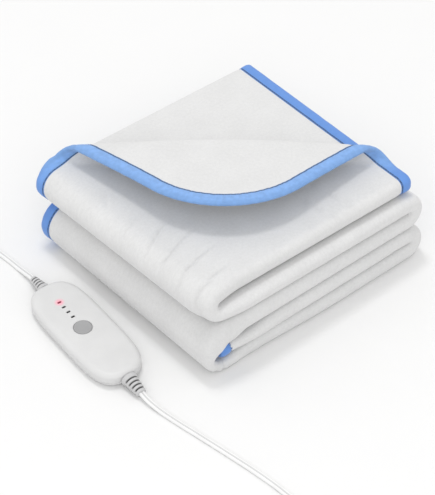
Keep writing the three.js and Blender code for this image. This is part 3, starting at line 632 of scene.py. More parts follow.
def plastic_finish(name, colour, roughness, grain=0.02, glow=None, groove_shade=None, **constants):
    """Moulded plastic; glow is the place and colour of a lamp that shines on it.

    A share given for grooves darkens the surface with painted shade where the mesh marks a groove.
    """
    finish = Finish(name, colour, roughness, **constants)
    place = finish.place()
    fine = finish.noise(place, FINE_SCALE, 3)
    broad = finish.noise(place, BROAD_SCALE, 2)
    tone = finish.varied((fine * 0.3 + broad * 0.7).rise(0.35, 0.65), 0.975, 1.015)
    if glow:
        centre, light = glow
        away = finish.node("ShaderNodeVectorMath", {"operation": "DISTANCE"}, {0: place, 1: centre}, output=1)
        tone = finish.mixed((1 - away.rise(*GLOW_REACH)) * 0.9, tone, (*light, 1))
    # Painted shade in the grooves that the mesh marks
    if groove_shade is not None:
        tone = finish.mixed(finish.parts(finish.marks())[0], tone, finish.shade(groove_shade))
    finish.set("Base Color", tone)
    finish.set("Roughness", roughness - 0.04 + fine * 0.08)
    finish.bump(fine, grain, 0.6)
    return finish.material


def metal_finish():
    finish = Finish("nickel finish", NICKEL, 0.25, Metallic=1.0)
    drawn = finish.noise(finish.scaled(finish.place(), DRAWN_GRAIN), 1.0, 2)
    finish.set("Roughness", 0.2 + drawn * 0.15)
    finish.set("Base Color", finish.varied(drawn, 0.92, 1.05))
    finish.bump(drawn, 0.01)
    return finish.material


# Sheet, edge tape and stitches

def sheet_stations(inset):
    s = stations([inset, *ALONG_STOPS, STRIP_LENGTH - inset], ALONG_CELLS)
    v = stations([inset, *ACROSS_STOPS, STRIP_WIDTH - inset], ACROSS_CELLS)
    return s, v


def sheet_sides(s, v, half):
    """Points half a thickness to either side of the cloth's middle."""
    middle = cloth_at(s, v)
    normal = cloth_normal(s, v)
    return middle + normal * half[:, None], middle - normal * half[:, None]


def over_floor(points):
    """The points, with none below the floor."""
    return np.maximum(points, (-np.inf, -np.inf, FLOOR_CLEARANCE))


def dent_depth(s, v):
    """Depth of the soft dents in the outer side of leaf 1."""
    depth = np.zeros_like(s)
    for s0, v0, s1, v1, width, deep in DENTS:
        way = np.array([s1 - s0, v1 - v0])
        length = np.hypot(*way)
        along = ((s - s0) * way[0] + (v - v0) * way[1]) / length
        across = ((v - v0) * way[0] - (s - s0) * way[1]) / length / width
        ends = between(along, (-DENT_FADE, DENT_FADE), (length - DENT_FADE, length + DENT_FADE))
        depth += deep * ends * (np.exp(-across ** 2) - RIDGE_SHARE * np.exp(-(across - RIDGE_ASIDE) ** 2))
    return depth


def sheet_mesh():
    along, across = sheet_stations(SHEET_INSET)
    ns, nv = len(along), len(across)
    s, v = (a.ravel() for a in np.meshgrid(along, across, indexing="ij"))
    s, v = round_corner(s, v, SHEET_INSET)
    half = SHEET_UNDER_TAPE + (CLOTH / 2 - SHEET_UNDER_TAPE) * ease(edge_distance(s, v), *PINCH)
    upper, lower = sheet_sides(s, v, half)
    upper -= cloth_normal(s, v) * dent_depth(s, v)[:, None]
    points = over_floor(np.concatenate([upper, lower]))
    i, j = (a.ravel() for a in np.meshgrid(np.arange(ns - 1), np.arange(nv - 1), indexing="ij"))
    top = np.stack([i * nv + j, (i + 1) * nv + j, (i + 1) * nv + j + 1, i * nv + j + 1], -1)
    under = top[:, ::-1] + ns * nv
    rim = rim_order(ns, nv) @ (nv, 1)
    after = np.roll(rim, -1)
    side = np.stack([rim, after, after + ns * nv, rim + ns * nv], -1)
    flat = placed(s, v, 0.0)
    return points, np.concatenate([top, under, side]).tolist(), np.concatenate([flat, flat + UNDER_SIDE])


def rim_line():
    """Rounded outline of the flat cloth, outward directions and the length along it."""
    along, across = sheet_stations(0.0)
    rim = rim_order(len(along), len(across))
    s, v = round_corner(along[rim[:, 0]], across[rim[:, 1]], 0.0)
    step = np.hypot(s - np.roll(s, 1), v - np.roll(v, 1))
    step[0] = 0
    return s, v, outward_at(s, v), np.cumsum(step)


def pucker(u, size):
    """Small unevenness of the sewn tape along its length."""
    quick = np.sin(u * PUCKER_QUICK + 1.7 * np.sin(u * PUCKER_DRIFT))
    slow = np.sin(u * PUCKER_SLOW + 2.0)
    return size * (quick * 0.6 + slow * 0.4)


def painted_tape_shade(s, v):
    """How much painted shade darkens the tape: less on the turned-over corner than beside it."""
    turned = (s - TURN_A[0]) * TURN_OUT[0] + (v - TURN_A[1]) * TURN_OUT[1]
    return TAPE_SHADE_SHARE * (1 - ease(turned, *TAPE_SHADE_FADE))


def tape_mesh(size):
    """Band round the cloth's edge, with that much unevenness on its outer sides."""
    s, v, out, u = rim_line()
    rows = []
    for sign in (1, -1):
        for inset, half in TAPE_OUTSIDE[::sign][(sign < 0):]:
            uneven = pucker(u + 3 * sign, size) * min(half / (CLOTH / 2), 1)
            rows.append((sign, inset, half + uneven))
    for sign in (-1, 1):
        for inset, half in TAPE_INSIDE[::-sign][(sign > 0):]:
            rows.append((sign, inset, np.full(len(s), half)))
    rings, flat = [], []
    for sign, inset, half in rows:
        sides = sheet_sides(s - out[:, 0] * inset, v - out[:, 1] * inset, half)
        rings.append(sides[0 if sign > 0 else 1])
        # Each point also carries the share of painted shade on the tape there
        flat.append(placed(u, inset, painted_tape_shade(s, v)))
    return *rings_mesh(over_floor(np.stack(rings, 1)), closed=True), np.stack(flat, 1)


def stitch_mesh(pitch):
    """Short threads in the tape's seam, on both faces of the cloth."""
    s, v, _, u = rim_line()
    s, v = np.append(s, s[0]), np.append(v, v[0])
    total = u[-1] + math.hypot(s[-1] - s[-2], v[-1] - v[-2])
    u = np.append(u, total)
    count = int(total / pitch)
    share, thick = np.array(STITCH_SHAPE).T
    at = (np.arange(count)[:, None] * total / count + share * pitch * STITCH_SHARE).ravel()
    ss, vv = np.interp(at, u, s), np.interp(at, u, v)
    way = outward_at(ss, vv)
    ss, vv = ss - way[:, 0] * SEAM_INSET, vv - way[:, 1] * SEAM_INSET
    rise = np.tile(STITCH_FOOT + STITCH_RISE * np.sin(math.pi * share) ** 0.5, count)
    a = turns(STITCH_SIDES)[:, None]
    blocks = []
    for sign in (1, -1):
        normal = cloth_normal(ss, vv) * sign
        line = (cloth_at(ss, vv) + normal * rise[:, None]).reshape(count, -1, 3)
        normal = normal.reshape(line.shape)
        across = unit(np.cross(unit(np.gradient(line, axis=1)), normal))
        ring = across[:, :, None] * np.cos(a) + normal[:, :, None] * np.sin(a)
        blocks.append(line[:, :, None] + ring * (STITCH_RADIUS * thick)[:, None, None])
    blocks = np.concatenate(blocks)
    one = ring_faces(len(share), STITCH_SIDES)
    points = over_floor(blocks.reshape(-1, 3))
    starts = range(0, len(points), len(share) * STITCH_SIDES)
    return points, [[start + corner for corner in face] for start in starts for face in one]


# Controller, in millimetres, with its own +X toward the topper lead

HOUSING_LENGTH, HOUSING_WIDTH, HOUSING_TOP, PARTING = 139.5, 54.2, 15.5, 6.0
HOUSING_CENTRE = (-182.1, -5.2)
HOUSING_TURN = math.radians(86.0)
LENGTH_POWER, WIDTH_POWER, HOUSING_POINTS = 4.4, 2.95, 144
# Height and inset of the base's rings, and distance from the parting line and inset of the lips there
BASE_ROWS = [(0.0, 7.0), (0.25, 5.6), (0.8, 4.1), (1.6, 2.7), (2.6, 1.5), (3.8, 0.6), (5.0, 0.12), (5.5, 0.0)]
LIP_ROWS = [(0.0, 0.35), (0.15, 0.1), (0.5, 0.0)]
SHOULDER_START, SHOULDER_INSET, SHOULDER_STEPS = 11.0, 5.6, 10
# Rise of the face's crown, and its rings: inset, and share of the rise
CROWN, CROWN_ROWS = 0.25, ((9, 0.4), (14, 0.75), (20, 1.0))
MARKS_ASIDE = 2.0
BUTTON_RADIUS, BUTTON_ALONG, BUTTON_POCKET, BUTTON_PROUD, BUTTON_POINTS = 8.7, 0.8, 1.4, 0.3, 72
# Inset from the button's side and depth below its top
BUTTON_FACE = [(0.0, 0.6), (0.12, 0.3), (0.4, 0.08), (0.8, 0.0), (1.6, 0.02), (3.0, 0.14), (5.0, 0.25),
               (7.2, 0.3)]
LAMP_COUNT, LAMP_POINTS, LAMP_POWER = 4, 24, 5
LAMP_LENGTH, LAMP_WIDTH, LAMP_FIRST, LAMP_PITCH, LAMP_POCKET, LAMP_PROUD = 3.4, 1.6, 40.6, 7.7, 1.2, 0.15
POCKET_ABOVE = 0.8
RELIEF_HEIGHT, RELIEF_TILT, RELIEF_FLATNESS = 7.6, math.radians(5), 0.82
RELIEF_START = HOUSING_LENGTH / 2 + 1.5 * GAP
RELIEF_POINTS, RELIEF_STEP, COLLAR_LENGTH = 64, 0.25, 3.4
# Depth of a slot; where it starts and ends as shares of the pitch; how far round it reaches
SLOT_DEPTH, SLOT_START, SLOT_END, SLOT_SIDES = 1.15, (0.18, 0.3), (0.55, 0.67), (0.2, 0.5)
# Length, radii of collar, root and tip, and number of slots
TOPPER_RELIEF = (20.5, 6.2, 5.6, 3.7, 4)
MAINS_RELIEF = (21.0, 8.0, 7.2, 4.8, 4)


def beside(points, turned=False):
    """Controller's own points set in the row frame."""
    x, y, z = np.moveaxis(np.asarray(points, dtype=float), -1, 0)
    a = HOUSING_TURN + (math.pi if turned else 0)
    c, s = math.cos(a), math.sin(a)
    return placed(HOUSING_CENTRE[0] + x * c - y * s, HOUSING_CENTRE[1] + x * s + y * c, z)


def controller_mesh(rings):
    points, faces = rings_mesh(rings)
    return beside(points), faces


def oval(half_length, half_width, count, length_power, width_power):
    a = turns(count, 0.5)
    c, s = np.cos(a), np.sin(a)
    x = half_length * np.sign(c) * np.abs(c) ** (2 / length_power)
    return x, half_width * np.sign(s) * np.abs(s) ** (2 / width_power)


def housing_mesh(rows):
    rings = []
    for z, inset in rows:
        halves = HOUSING_LENGTH / 2 - inset, HOUSING_WIDTH / 2 - inset
        rings.append(placed(*oval(*halves, HOUSING_POINTS, LENGTH_POWER, WIDTH_POWER), z))
    return controller_mesh(rings)


def upper_housing():
    rows = [(PARTING + GAP / 2 + rise, inset) for rise, inset in LIP_ROWS] + [(SHOULDER_START - 2, 0.0)]
    for a in np.radians(np.linspace(0, 90, SHOULDER_STEPS + 1)):
        rows.append((SHOULDER_START + (HOUSING_TOP - SHOULDER_START) * math.sin(a),
                     SHOULDER_INSET * (1 - math.cos(a))))
    return housing_mesh(rows + [(HOUSING_TOP + CROWN * share, inset) for inset, share in CROWN_ROWS])


def lower_housing():
    return housing_mesh(BASE_ROWS + [(PARTING - GAP / 2 - drop, inset) for drop, inset in LIP_ROWS[1::-1]])


def button_rings(profile):
    """Rings round the button's middle, from the radius and height of each."""
    a = turns(BUTTON_POINTS)
    return [placed(BUTTON_ALONG + r * np.cos(a), MARKS_ASIDE + r * np.sin(a), z) for r, z in profile]


def button_mesh():
    base, top = HOUSING_TOP - BUTTON_POCKET + GAP, HOUSING_TOP + BUTTON_PROUD
    profile = [(BUTTON_RADIUS - 0.3, base), (BUTTON_RADIUS, base + 0.3)]
    profile += [(BUTTON_RADIUS - inset, top - depth) for inset, depth in BUTTON_FACE]
    return controller_mesh(button_rings(profile))


def lamp_x(k):
    return LAMP_FIRST - k * LAMP_PITCH


def lamp_rings(k, levels):
    """Rings round a lamp's middle, from the height of each and how far it stands outside the lamp."""
    rings = []
    for z, more in levels:
        x, y = oval(LAMP_WIDTH / 2 + more, LAMP_LENGTH / 2 + more, LAMP_POINTS, LAMP_POWER, LAMP_POWER)
        rings.append(placed(lamp_x(k) + x, MARKS_ASIDE + y, z))
    return rings


def lamp_mesh(k):
    base, top = HOUSING_TOP - LAMP_POCKET + GAP, HOUSING_TOP + LAMP_PROUD
    levels = [(base, -0.1), (base + 0.1, 0.0), (top - 0.25, 0.0), (top - 0.08, -0.08), (top, -0.25)]
    return controller_mesh(lamp_rings(k, levels))


def pocket_cutters():
    """What is cut out of the upper housing for the button and the lamps."""
    r, above = BUTTON_RADIUS + GAP, HOUSING_TOP + POCKET_ABOVE
    cutters = [button_rings([(r, HOUSING_TOP - BUTTON_POCKET), (r, HOUSING_TOP - 0.2), (r + 1.0, above)])]
    levels = [(HOUSING_TOP - LAMP_POCKET, GAP), (HOUSING_TOP, GAP), (above, GAP + 0.4)]
    cutters += [lamp_rings(k, levels) for k in range(LAMP_COUNT)]
    return [controller_mesh(rings) for rings in cutters]


def cut_out(piece, cutters):
    """The piece less each cutter, given as points in the row frame and faces."""
    for points, faces in cutters:
        mesh = new_mesh("cutter", points, faces)
        cutter = in_scene("cutter", mesh)
        modifier = piece.modifiers.new("cut", "BOOLEAN")
        modifier.operation = "DIFFERENCE"
        modifier.solver = "EXACT"
        modifier.object = cutter
        bpy.context.view_layer.update()
        graph = bpy.context.evaluated_depsgraph_get()
        result = bpy.data.meshes.new_from_object(piece.evaluated_get(graph))
        piece.modifiers.clear()
        piece.data = result
        bpy.data.objects.remove(cutter)
        bpy.data.meshes.remove(mesh)


def relief_mesh(sizes, turned):
    """Tapered sleeve with slots across its upper and lower sides."""
    length, collar, root, tip, slots = sizes
    first = COLLAR_LENGTH
    pitch = (length - first - 1) / slots
    a = turns(RELIEF_POINTS)
    slotted = ease(np.abs(np.sin(a)), *SLOT_SIDES)
    rows = [(0.0, collar - 0.35), (0.25, collar), (first - 1.0, collar), (first - 0.6, collar - 0.3),
            (first - 0.3, root + 0.35), (first, root)]
    for x in np.arange(first + RELIEF_STEP, length - 0.35, RELIEF_STEP):
        rows.append((x, root + (tip - root) * (x - first) / (length - first)))
    rows += [(length - 0.15, tip - 0.15), (length, tip - 0.5)]
    rings, marks = [], []
    for x, radius in rows:
        groove = 0.0
        if first < x < first + slots * pitch:
            share = (x - first) % pitch / pitch
            groove = between(share, SLOT_START, SLOT_END)
        r = radius - SLOT_DEPTH * groove * slotted
        rings.append(placed(x, r * np.cos(a), r * np.sin(a) * RELIEF_FLATNESS))
        # The slots' mask, for the painted shade in them
        marks.append(placed(groove * slotted, 0.0, 0.0))
    points, faces = rings_mesh(rings)
    x, y, z = points.T
    c, s = math.cos(RELIEF_TILT), math.sin(RELIEF_TILT)
    own = placed(RELIEF_START + x * c + z * s, y, RELIEF_HEIGHT - x * s + z * c)
    return beside(own, turned), faces, np.stack(marks)


# Leads: two strands side by side; the coils' places and turns, in millimetres

LEAD_WIDTH, LEAD_THICKNESS, LEAD_LEVEL, LEAD_STEP = 6.0, 3.2, 1.9, 2.2
STRAND_ANGLES = (0, 26, 52, 78, 102, 122, 136)
# Painted shade in the groove between the strands: full near the middle, gone by the second distance across
GROOVE_SIDE = (0.3, 1.1)
LEVEL_PITCH, COLUMN_PITCH = 3.35, 6.4
COIL_REACH, COIL_ENTRY = {"topper": 23.4, "mains": 24.6}, (12, 0)
# Distance past the coil's middle and drop below the coil's top; then distance past the reach and height
TAIL_START = ((8.0, 0.05), (16.0, 0.25))
TAIL, TAIL_INSIDE = ((0.0, 4.6), (12.0, 3.2), (24.0, 2.3)), (25.2, 2.3)
# Place where each lead leaves its relief, then its way over the floor to its coil, in metres
TOPPER_ROUTE = [
    (-0.17576, 0.0855, 0.00579), (-0.17543, 0.09017, 0.00538), (-0.1752, 0.095, 0.0042),
    (-0.1751, 0.1, 0.0033), (-0.1751, 0.105, 0.0026), (-0.1752, 0.11, 0.0021), (-0.1753, 0.115, 0.0019),
    (-0.1755, 0.12, 0.0019), (-0.1758, 0.125, 0.0019), (-0.1762, 0.13, 0.0019), (-0.1767, 0.135, 0.0019),
    (-0.1773, 0.14, 0.0019), (-0.1779, 0.145, 0.0019), (-0.1785, 0.15, 0.0019), (-0.1792, 0.158, 0.0019),
    (-0.1796, 0.1686, 0.0019),
]
MAINS_ROUTE = [
    (-0.18848, -0.09640, 0.00574), (-0.18880, -0.10107, 0.00533), (-0.1886, -0.107, 0.0042),
    (-0.1878, -0.1145, 0.0031), (-0.1864, -0.1245, 0.0022), (-0.1847, -0.135, 0.0019),
    (-0.1827, -0.1465, 0.0019), (-0.1805, -0.158, 0.0019), (-0.1776, -0.174, 0.0019),
    (-0.1752, -0.187, 0.0019), (-0.173, -0.2, 0.0019), (-0.1686, -0.226, 0.0019),
    (-0.1654, -0.252, 0.0019), (-0.1642, -0.274, 0.0019), (-0.1646, -0.293, 0.0019),
    (-0.1649, -0.3074, 0.0019),
]
# Centre of each coil, radius of its outer turn, columns, and the way round: 1 is anticlockwise
TOPPER_COIL = ((-221.0, 192.0), 41.4, 3, 1)
MAINS_COIL = ((-209.5, -332.0), 44.6, 4, -1)
# Degrees: from one point of a coil to the next, its last quarter turn, and where a turn shifts or climbs
COIL_STEP, COIL_LAST, SHIFT_IN, SHIFT_OUT, CLIMB = 18.0, 90, (290, 350), (170, 230), (230, 290)


def coil_points(centre, outer, columns, hand):
    """Inward turns on the floor, a climb at the middle, then outward turns on top of them."""
    a = np.arange(COIL_STEP, (2 * columns - 1) * 360 + COIL_LAST + 1, COIL_STEP)
    radius = np.full(len(a), float(outer))
    for k in range(columns - 1):
        radius -= COLUMN_PITCH * ease(a - k * 360, *SHIFT_IN)
        radius += COLUMN_PITCH * ease(a - (columns + k) * 360, *SHIFT_OUT)
    z = LEAD_LEVEL + LEVEL_PITCH * ease(a - (columns - 1) * 360, *CLIMB)
    turn = np.radians(a)
    return placed(centre[0] + radius * np.cos(turn), centre[1] + hand * radius * np.sin(turn), z)


def through(points, step):
    """Points every step or so on a smooth curve through the given ones.

    Four neighbours are blended over the spans they share, until one point is left.
    """
    p = np.asarray(points)
    p = np.concatenate([[2 * p[0] - p[1]], p, [2 * p[-1] - p[-2]]])
    line = []
    for near in zip(p, p[1:], p[2:], p[3:]):
        t = np.cumsum([0] + [math.sqrt(np.linalg.norm(b - a)) for a, b in zip(near, near[1:])])
        count = max(1, round(np.linalg.norm(near[2] - near[1]) / step))
        for u in t[1] + (t[2] - t[1]) * np.arange(count) / count:
            row = near
            for spans in (((0, 1), (1, 2), (2, 3)), ((0, 2), (1, 3)), ((1, 2),)):
                row = [((t[j] - u) * a + (u - t[i]) * b) / (t[j] - t[i])
                       for (i, j), a, b in zip(spans, row, row[1:])]
            line.append(row[0])
    return np.array(line + [p[-2]])


def lead_line(route, coil, reach):
    """The whole way of a lead: from inside its relief, round its coil and into its end piece."""
    centre, outer, _, hand = coil
    way = np.array(route) / MM
    inside = way[0] + (way[0] - way[1]) / np.linalg.norm(way[0] - way[1])
    top = LEAD_LEVEL + LEVEL_PITCH
    rows = [(x, top - drop) for x, drop in TAIL_START] + [(reach + x, z) for x, z in (*TAIL, TAIL_INSIDE)]
    tail = [(centre[0] - x, centre[1] + hand * outer, z) for x, z in rows]
    entry = [(centre[0] + outer, centre[1] - hand * y, LEAD_LEVEL) for y in COIL_ENTRY]
    return through(np.concatenate([[inside], way, entry, coil_points(*coil), tail]), LEAD_STEP)


def lead_section(groove):
    """Outline of the two strands: across, and up."""
    half = LEAD_THICKNESS / 2
    away, waist = LEAD_WIDTH / 2 - half, half - groove
    quarter = []
    for k, a in enumerate(np.radians(STRAND_ANGLES)):
        quarter.append((away + half * math.cos(a), max(half * math.sin(a), waist if k > 1 else 0.0)))
    quarter.append((0.0, waist))
    over = quarter + [(-x, z) for x, z in quarter[-2::-1]]
    return np.array(over + [(x, -z) for x, z in over[-2:0:-1]])


def lead_mesh(line, groove):
    ahead = unit(np.gradient(line, axis=0))
    side = unit(np.cross(ahead, [0.0, 0.0, 1.0]))
    up = np.cross(side, ahead)
    section = lead_section(groove)
    rings = line[:, None] + side[:, None] * section[:, :1] + up[:, None] * section[:, 1:]
    # Mask of the painted shade in the groove between the strands
    groove_shade_mask = 1 - ease(np.abs(section[:, 0]), *GROOVE_SIDE)
    return *rings_mesh(rings), np.tile(placed(groove_shade_mask, 0.0, 0.0), (len(line), 1))


# End pieces, along their own +X from the boot to the face: distance, width and height of each section

CONNECTOR_ROWS = [(0, 7.4, 4.4), (0.5, 8, 4.8), (13.6, 9.4, 6), (14.2, 9.8, 6.3), (15, 13, 9),
                  (16.2, 15.6, 10.2), (18, 17, 11), (43, 17, 11), (44.3, 16.6, 10.7), (45.4, 15, 9.6),
                  (46, 12.2, 7.2), (46.4, 12, 7), (54.4, 12, 7), (55, 11.2, 6.2)]
PLUG_ROWS = [(0, 7.4, 4.4), (0.5, 8, 4.8), (9, 9.4, 6), (18, 11, 7.6), (19.2, 13.5, 8.6), (22, 24, 11),
             (25.5, 30.5, 12.8), (30, 34, 13.7), (37, 35.1, 13.7), (45, 35.3, 13.7), (46.2, 34.8, 13.3),
             (47, 33.5, 12.4)]
# Where the grip ridges start and end, and their pitch
CONNECTOR_RIDGES, PLUG_RIDGES = (22, 40, 3.0), (2, 17, 3.0)
RIDGE_DEPTH, RIDGE_HEIGHT_SHARE = 0.35, 0.6
END_POWER, END_POINTS = 3.4, 48
PIN_RADIUS, PIN_LENGTH, PIN_PITCH, PIN_HEIGHT, PIN_SLEEVE, PIN_POINTS = 2.0, 19.0, 18.6, 6.85, 10.0, 24
PIN_START = PLUG_ROWS[-1][0] + GAP
PIN_END = PIN_START + PIN_LENGTH
# Radius as a share of the pin's, and distance from the plug's boot
PIN_ROWS = [(0.9, PIN_START), (1.0, PIN_START + 0.2), (1.0, PIN_END - 1.2), (0.9, PIN_END - 0.5),
            (0.6, PIN_END - 0.1), (0.25, PIN_END)]
SLEEVE_ROWS = [(1.02, PIN_START + 0.05), (1.08, PIN_START + 0.3), (1.08, PIN_START + PIN_SLEEVE - 0.4),
               (1.01, PIN_START + PIN_SLEEVE)]


def end_mesh(rows, ridges, origin):
    """Lofted end piece with small grip ridges between two distances, facing -X."""
    marks, widths, heights = np.array(rows, dtype=float).T
    low, high, pitch = ridges
    x = np.unique(np.round(np.concatenate([marks, np.arange(low, high, pitch / 6)]), 3))
    dip = RIDGE_DEPTH * (1 - np.cos(2 * math.pi * (x - low) / pitch)) * ((x > low) & (x < high))
    rings = []
    for xk, w, h, cut in zip(x, np.interp(x, marks, widths), np.interp(x, marks, heights), dip):
        y, z = oval(w / 2 - cut, h / 2 - cut * RIDGE_HEIGHT_SHARE, END_POINTS, END_POWER, END_POWER)
        rings.append(placed(origin[0] - xk, origin[1] - y, z + h / 2))
    return rings_mesh(rings)


def pin_mesh(rows, origin, side):
    """Round pin or its sleeve, along -X from the plug's face."""
    a = turns(PIN_POINTS)
    y = origin[1] + side * PIN_PITCH / 2
    return rings_mesh([placed(origin[0] - x, y + PIN_RADIUS * share * np.cos(a),
                              PIN_HEIGHT + PIN_RADIUS * share * np.sin(a)) for share, x in rows])


def end_origin(coil, reach):
    centre, outer, _, hand = coil
    return centre[0] - reach - TAIL[-1][0] - GAP, centre[1] + hand * outer


# Stage: the floor in millimetres, the lights and the camera in metres

FLOOR_REACH = 6000.0
SURROUND = (1.0, 0.998, 0.993, 1)
# Place and diameter of each light, and its power as a share of the key light's
LIGHTS = (("key light", (0.05, 0.42, 2.7), 0.5, 1.0), ("fill light", (-1.2, -1.4, 1.67), 1.8, 0.65))
LIT_POINT = Vector((0, 0, 0.05))
CAMERA_PLACE, CAMERA_WAY = (-0.8886, -1.0404, 1.2951), (0.4803, 0.5624, -0.6730)
CAMERA_WIDTH, CAMERA_LENS, CAMERA_SHIFT = 36.0, 141.0, (-0.0293, -0.0768)


def facing(direction):
    return Vector(direction).to_track_quat("-Z", "Y").to_euler()


# Settings

def colour_setting(name, what, default):
    return FloatVectorProperty(name=f"{name} colour", description=f"Colour of the {what}", subtype="COLOR",
                               size=3, min=0, max=1, default=default)


def length_setting(name, about, default):
    return FloatProperty(name=name, description=about, unit="LENGTH", min=0, default=default, precision=5)


class TopperCloth(bpy.types.PropertyGroup):
    colour: colour_setting("Cloth", "padded cloth", (0.69, 0.69, 0.69))
    nap_height: length_setting("Nap height", "Depth of the cloth's fine grain", 0.0001)


class TopperTape(bpy.types.PropertyGroup):
    colour: colour_setting("Tape", "edge tape", (0.22, 0.41, 0.78))
    # Colour of the painted shade on the tape beside the turned-over corner
    shaded_tape_colour: colour_setting("Shaded tape", "tape beside the turned-over corner", (0.10, 0.25, 0.66))
    seam_shade: FloatProperty(name="Seam shade", description="Seam's share of the tape's brightness",
                              subtype="FACTOR", min=0, max=1, default=0.2)
    pucker: length_setting("Pucker", "Unevenness of the sewn tape", 0.00025)
    stitch_pitch: length_setting("Stitch pitch", "Distance from one stitch to the next", 0.0032)
    stitch_colour: colour_setting("Thread", "seam's thread", (0.09, 0.20, 0.50))


class TopperController(bpy.types.PropertyGroup):
    colour: colour_setting("Housing", "housing and end pieces", (0.68, 0.68, 0.68))
    button_colour: colour_setting("Button", "round button", (0.35, 0.35, 0.355))
    lamp_colour: colour_setting("Dark lamp", "unlit lamps", (0.004, 0.004, 0.005))
    lit_colour: colour_setting("Lit lamp", "lamp that is on", (0.20, 0.01, 0.035))
    glow_colour: colour_setting("Glow", "lit lamp's shine on the housing", (0.98, 0.40, 0.50))
    relief_colour: colour_setting("Relief", "ribbed sleeves", (0.56, 0.56, 0.565))
    sleeve_colour: colour_setting("Pin sleeve", "pins' sleeves", (0.7, 0.7, 0.7))


class TopperLeads(bpy.types.PropertyGroup):
    colour: colour_setting("Lead", "twin leads", (0.86, 0.86, 0.86))
    groove: length_setting("Groove depth", "Depth of the groove between the two strands", 0.0005)


class TopperStage(bpy.types.PropertyGroup):
    floor_colour: colour_setting("Floor", "floor", (0.85, 0.85, 0.85))
    key_power: FloatProperty(name="Key light", description="Power of the light overhead", unit="POWER", min=0,
                             default=15.0)
    world_strength: FloatProperty(name="Surround", description="Strength of the pale surround", min=0,
                                  default=0.89)


# Operators

class MakeStage(bpy.types.Operator):
    """Lay the floor and set the lights and the camera"""
    bl_idname = "topper.stage"
    bl_label = "Stage"

    def execute(self, context):
        settings, scene = context.scene.topper_stage, context.scene
        finish = Finish("floor finish", settings.floor_colour, 0.6, Specular_IOR_Level=0.2)
        speck = finish.noise(finish.place(), SPECK_SCALE, 3)
        finish.set("Base Color", finish.varied(speck, 0.99, 1.0))
        corners = FLOOR_REACH * np.array([(-1, -1, 0), (1, -1, 0), (1, 1, 0), (-1, 1, 0)])
        mesh = new_mesh("floor", corners, [(0, 1, 2, 3)])
        mesh.materials.append(finish.material)
        floor = in_scene("floor", mesh)
        world = bpy.data.worlds.new("surround")
        world.use_nodes = True
        back = world.node_tree.nodes["Background"]
        back.inputs["Color"].default_value = SURROUND
        back.inputs["Strength"].default_value = settings.world_strength
        scene.world = world
        scene.view_settings.view_transform = "Standard"
        for name, place, size, share in LIGHTS:
            light = bpy.data.lights.new(name, "AREA")
            light.shape = "DISK"
            light.size = size
            light.energy = settings.key_power * share
            lamp = in_scene(name, light)
            lamp.location = place
            lamp.rotation_euler = facing(LIT_POINT - Vector(place))
        camera = bpy.data.cameras.new("camera")
        camera.sensor_fit = "AUTO"
        camera.sensor_width = CAMERA_WIDTH
        camera.lens = CAMERA_LENS
        camera.shift_x, camera.shift_y = CAMERA_SHIFT
        eye = in_scene("camera", camera)
        eye.location = CAMERA_PLACE
        eye.rotation_euler = facing(CAMERA_WAY)
        scene.camera = eye
        return {"FINISHED"}


class MakeEnds(bpy.types.Operator):
    """Make the connector and the plug with its pins"""
    bl_idname = "topper.ends"
    bl_label = "Connector and plug"

    def execute(self, context):
        settings = context.scene.topper_controller
        finish = plastic_finish("end piece finish", settings.colour, 0.45)
        shape = end_mesh(CONNECTOR_ROWS, CONNECTOR_RIDGES, end_origin(TOPPER_COIL, COIL_REACH["topper"]))
        piece = new_piece("connector_body", shape, finish, sharp=50)
        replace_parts(piece, "connector")
        origin = end_origin(MAINS_COIL, COIL_REACH["mains"])
        shape = end_mesh(PLUG_ROWS, PLUG_RIDGES, origin)
        piece = new_piece("plug_body", shape, finish, sharp=50)
        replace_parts(piece, "plug")
        metal = metal_finish()
        sleeve = plastic_finish("pin sleeve finish", settings.sleeve_colour, 0.5)
        for k, side in ((1, -1), (2, 1)):
            pin = new_piece(f"contact_pin_{k}", pin_mesh(PIN_ROWS, origin, side), metal, sharp=40)
            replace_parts(pin, f"pin_{k}")
            new_piece(f"pin_sleeve_{k}", pin_mesh(SLEEVE_ROWS, origin, side), sleeve, sharp=40)
        return {"FINISHED"}


class MakeLeads(bpy.types.Operator):
    """Lay both leads over the floor and round their coils"""
    bl_idname = "topper.leads"
    bl_label = "Leads"

    def execute(self, context):
        settings = context.scene.topper_leads
        # The groove between the strands gets painted shade
        finish = plastic_finish("lead finish", settings.colour, 0.5, grain=0.03, groove_shade=0.72)
        plug_pieces = ["plug_body", "contact_pin_1", "contact_pin_2", "pin_sleeve_1", "pin_sleeve_2"]
        for end, route, coil, length, far_end, carried in (
                ("topper", TOPPER_ROUTE, TOPPER_COIL, 1.31, "connector", ["connector_body"]),
                ("mains", MAINS_ROUTE, MAINS_COIL, 1.88, "plug", plug_pieces)):
            line = lead_line(route, coil, COIL_REACH[end])
            shape = lead_mesh(line, settings.groove / MM)
            piece = new_piece(f"twin_lead_{end}", shape, finish, sharp=70)
            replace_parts(piece, f"lead_{end}", f"coil_{end}", f"tail_{end}")
        return {"FINISHED"}


class MakeSheet(bpy.types.Operator):
    """Fold the padded sheet"""
    bl_idname = "topper.sheet"
    bl_label = "Folded sheet"

    def execute(self, context):
        piece = new_piece("folded_sheet", sheet_mesh(), cloth_finish(context.scene.topper_cloth))
        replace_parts(piece, "panel")
        return {"FINISHED"}


class MakeTape(bpy.types.Operator):
    """Sew the edge tape round the sheet"""
    bl_idname = "topper.tape"
    bl_label = "Edge tape"

    def execute(self, context):
        settings = context.scene.topper_tape
        tape = new_piece("edge_tape", tape_mesh(settings.pucker / MM), tape_finish(settings))
        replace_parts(tape, "binding")
        shape = stitch_mesh(settings.stitch_pitch / MM)
        new_piece("seam_stitches", shape, thread_finish(settings))
        STRIP_WIDTH * MM
        (STRIP_LENGTH * STRIP_WIDTH - (4 - math.pi) * CORNER_RADIUS ** 2) * MM * MM
        return {"FINISHED"}


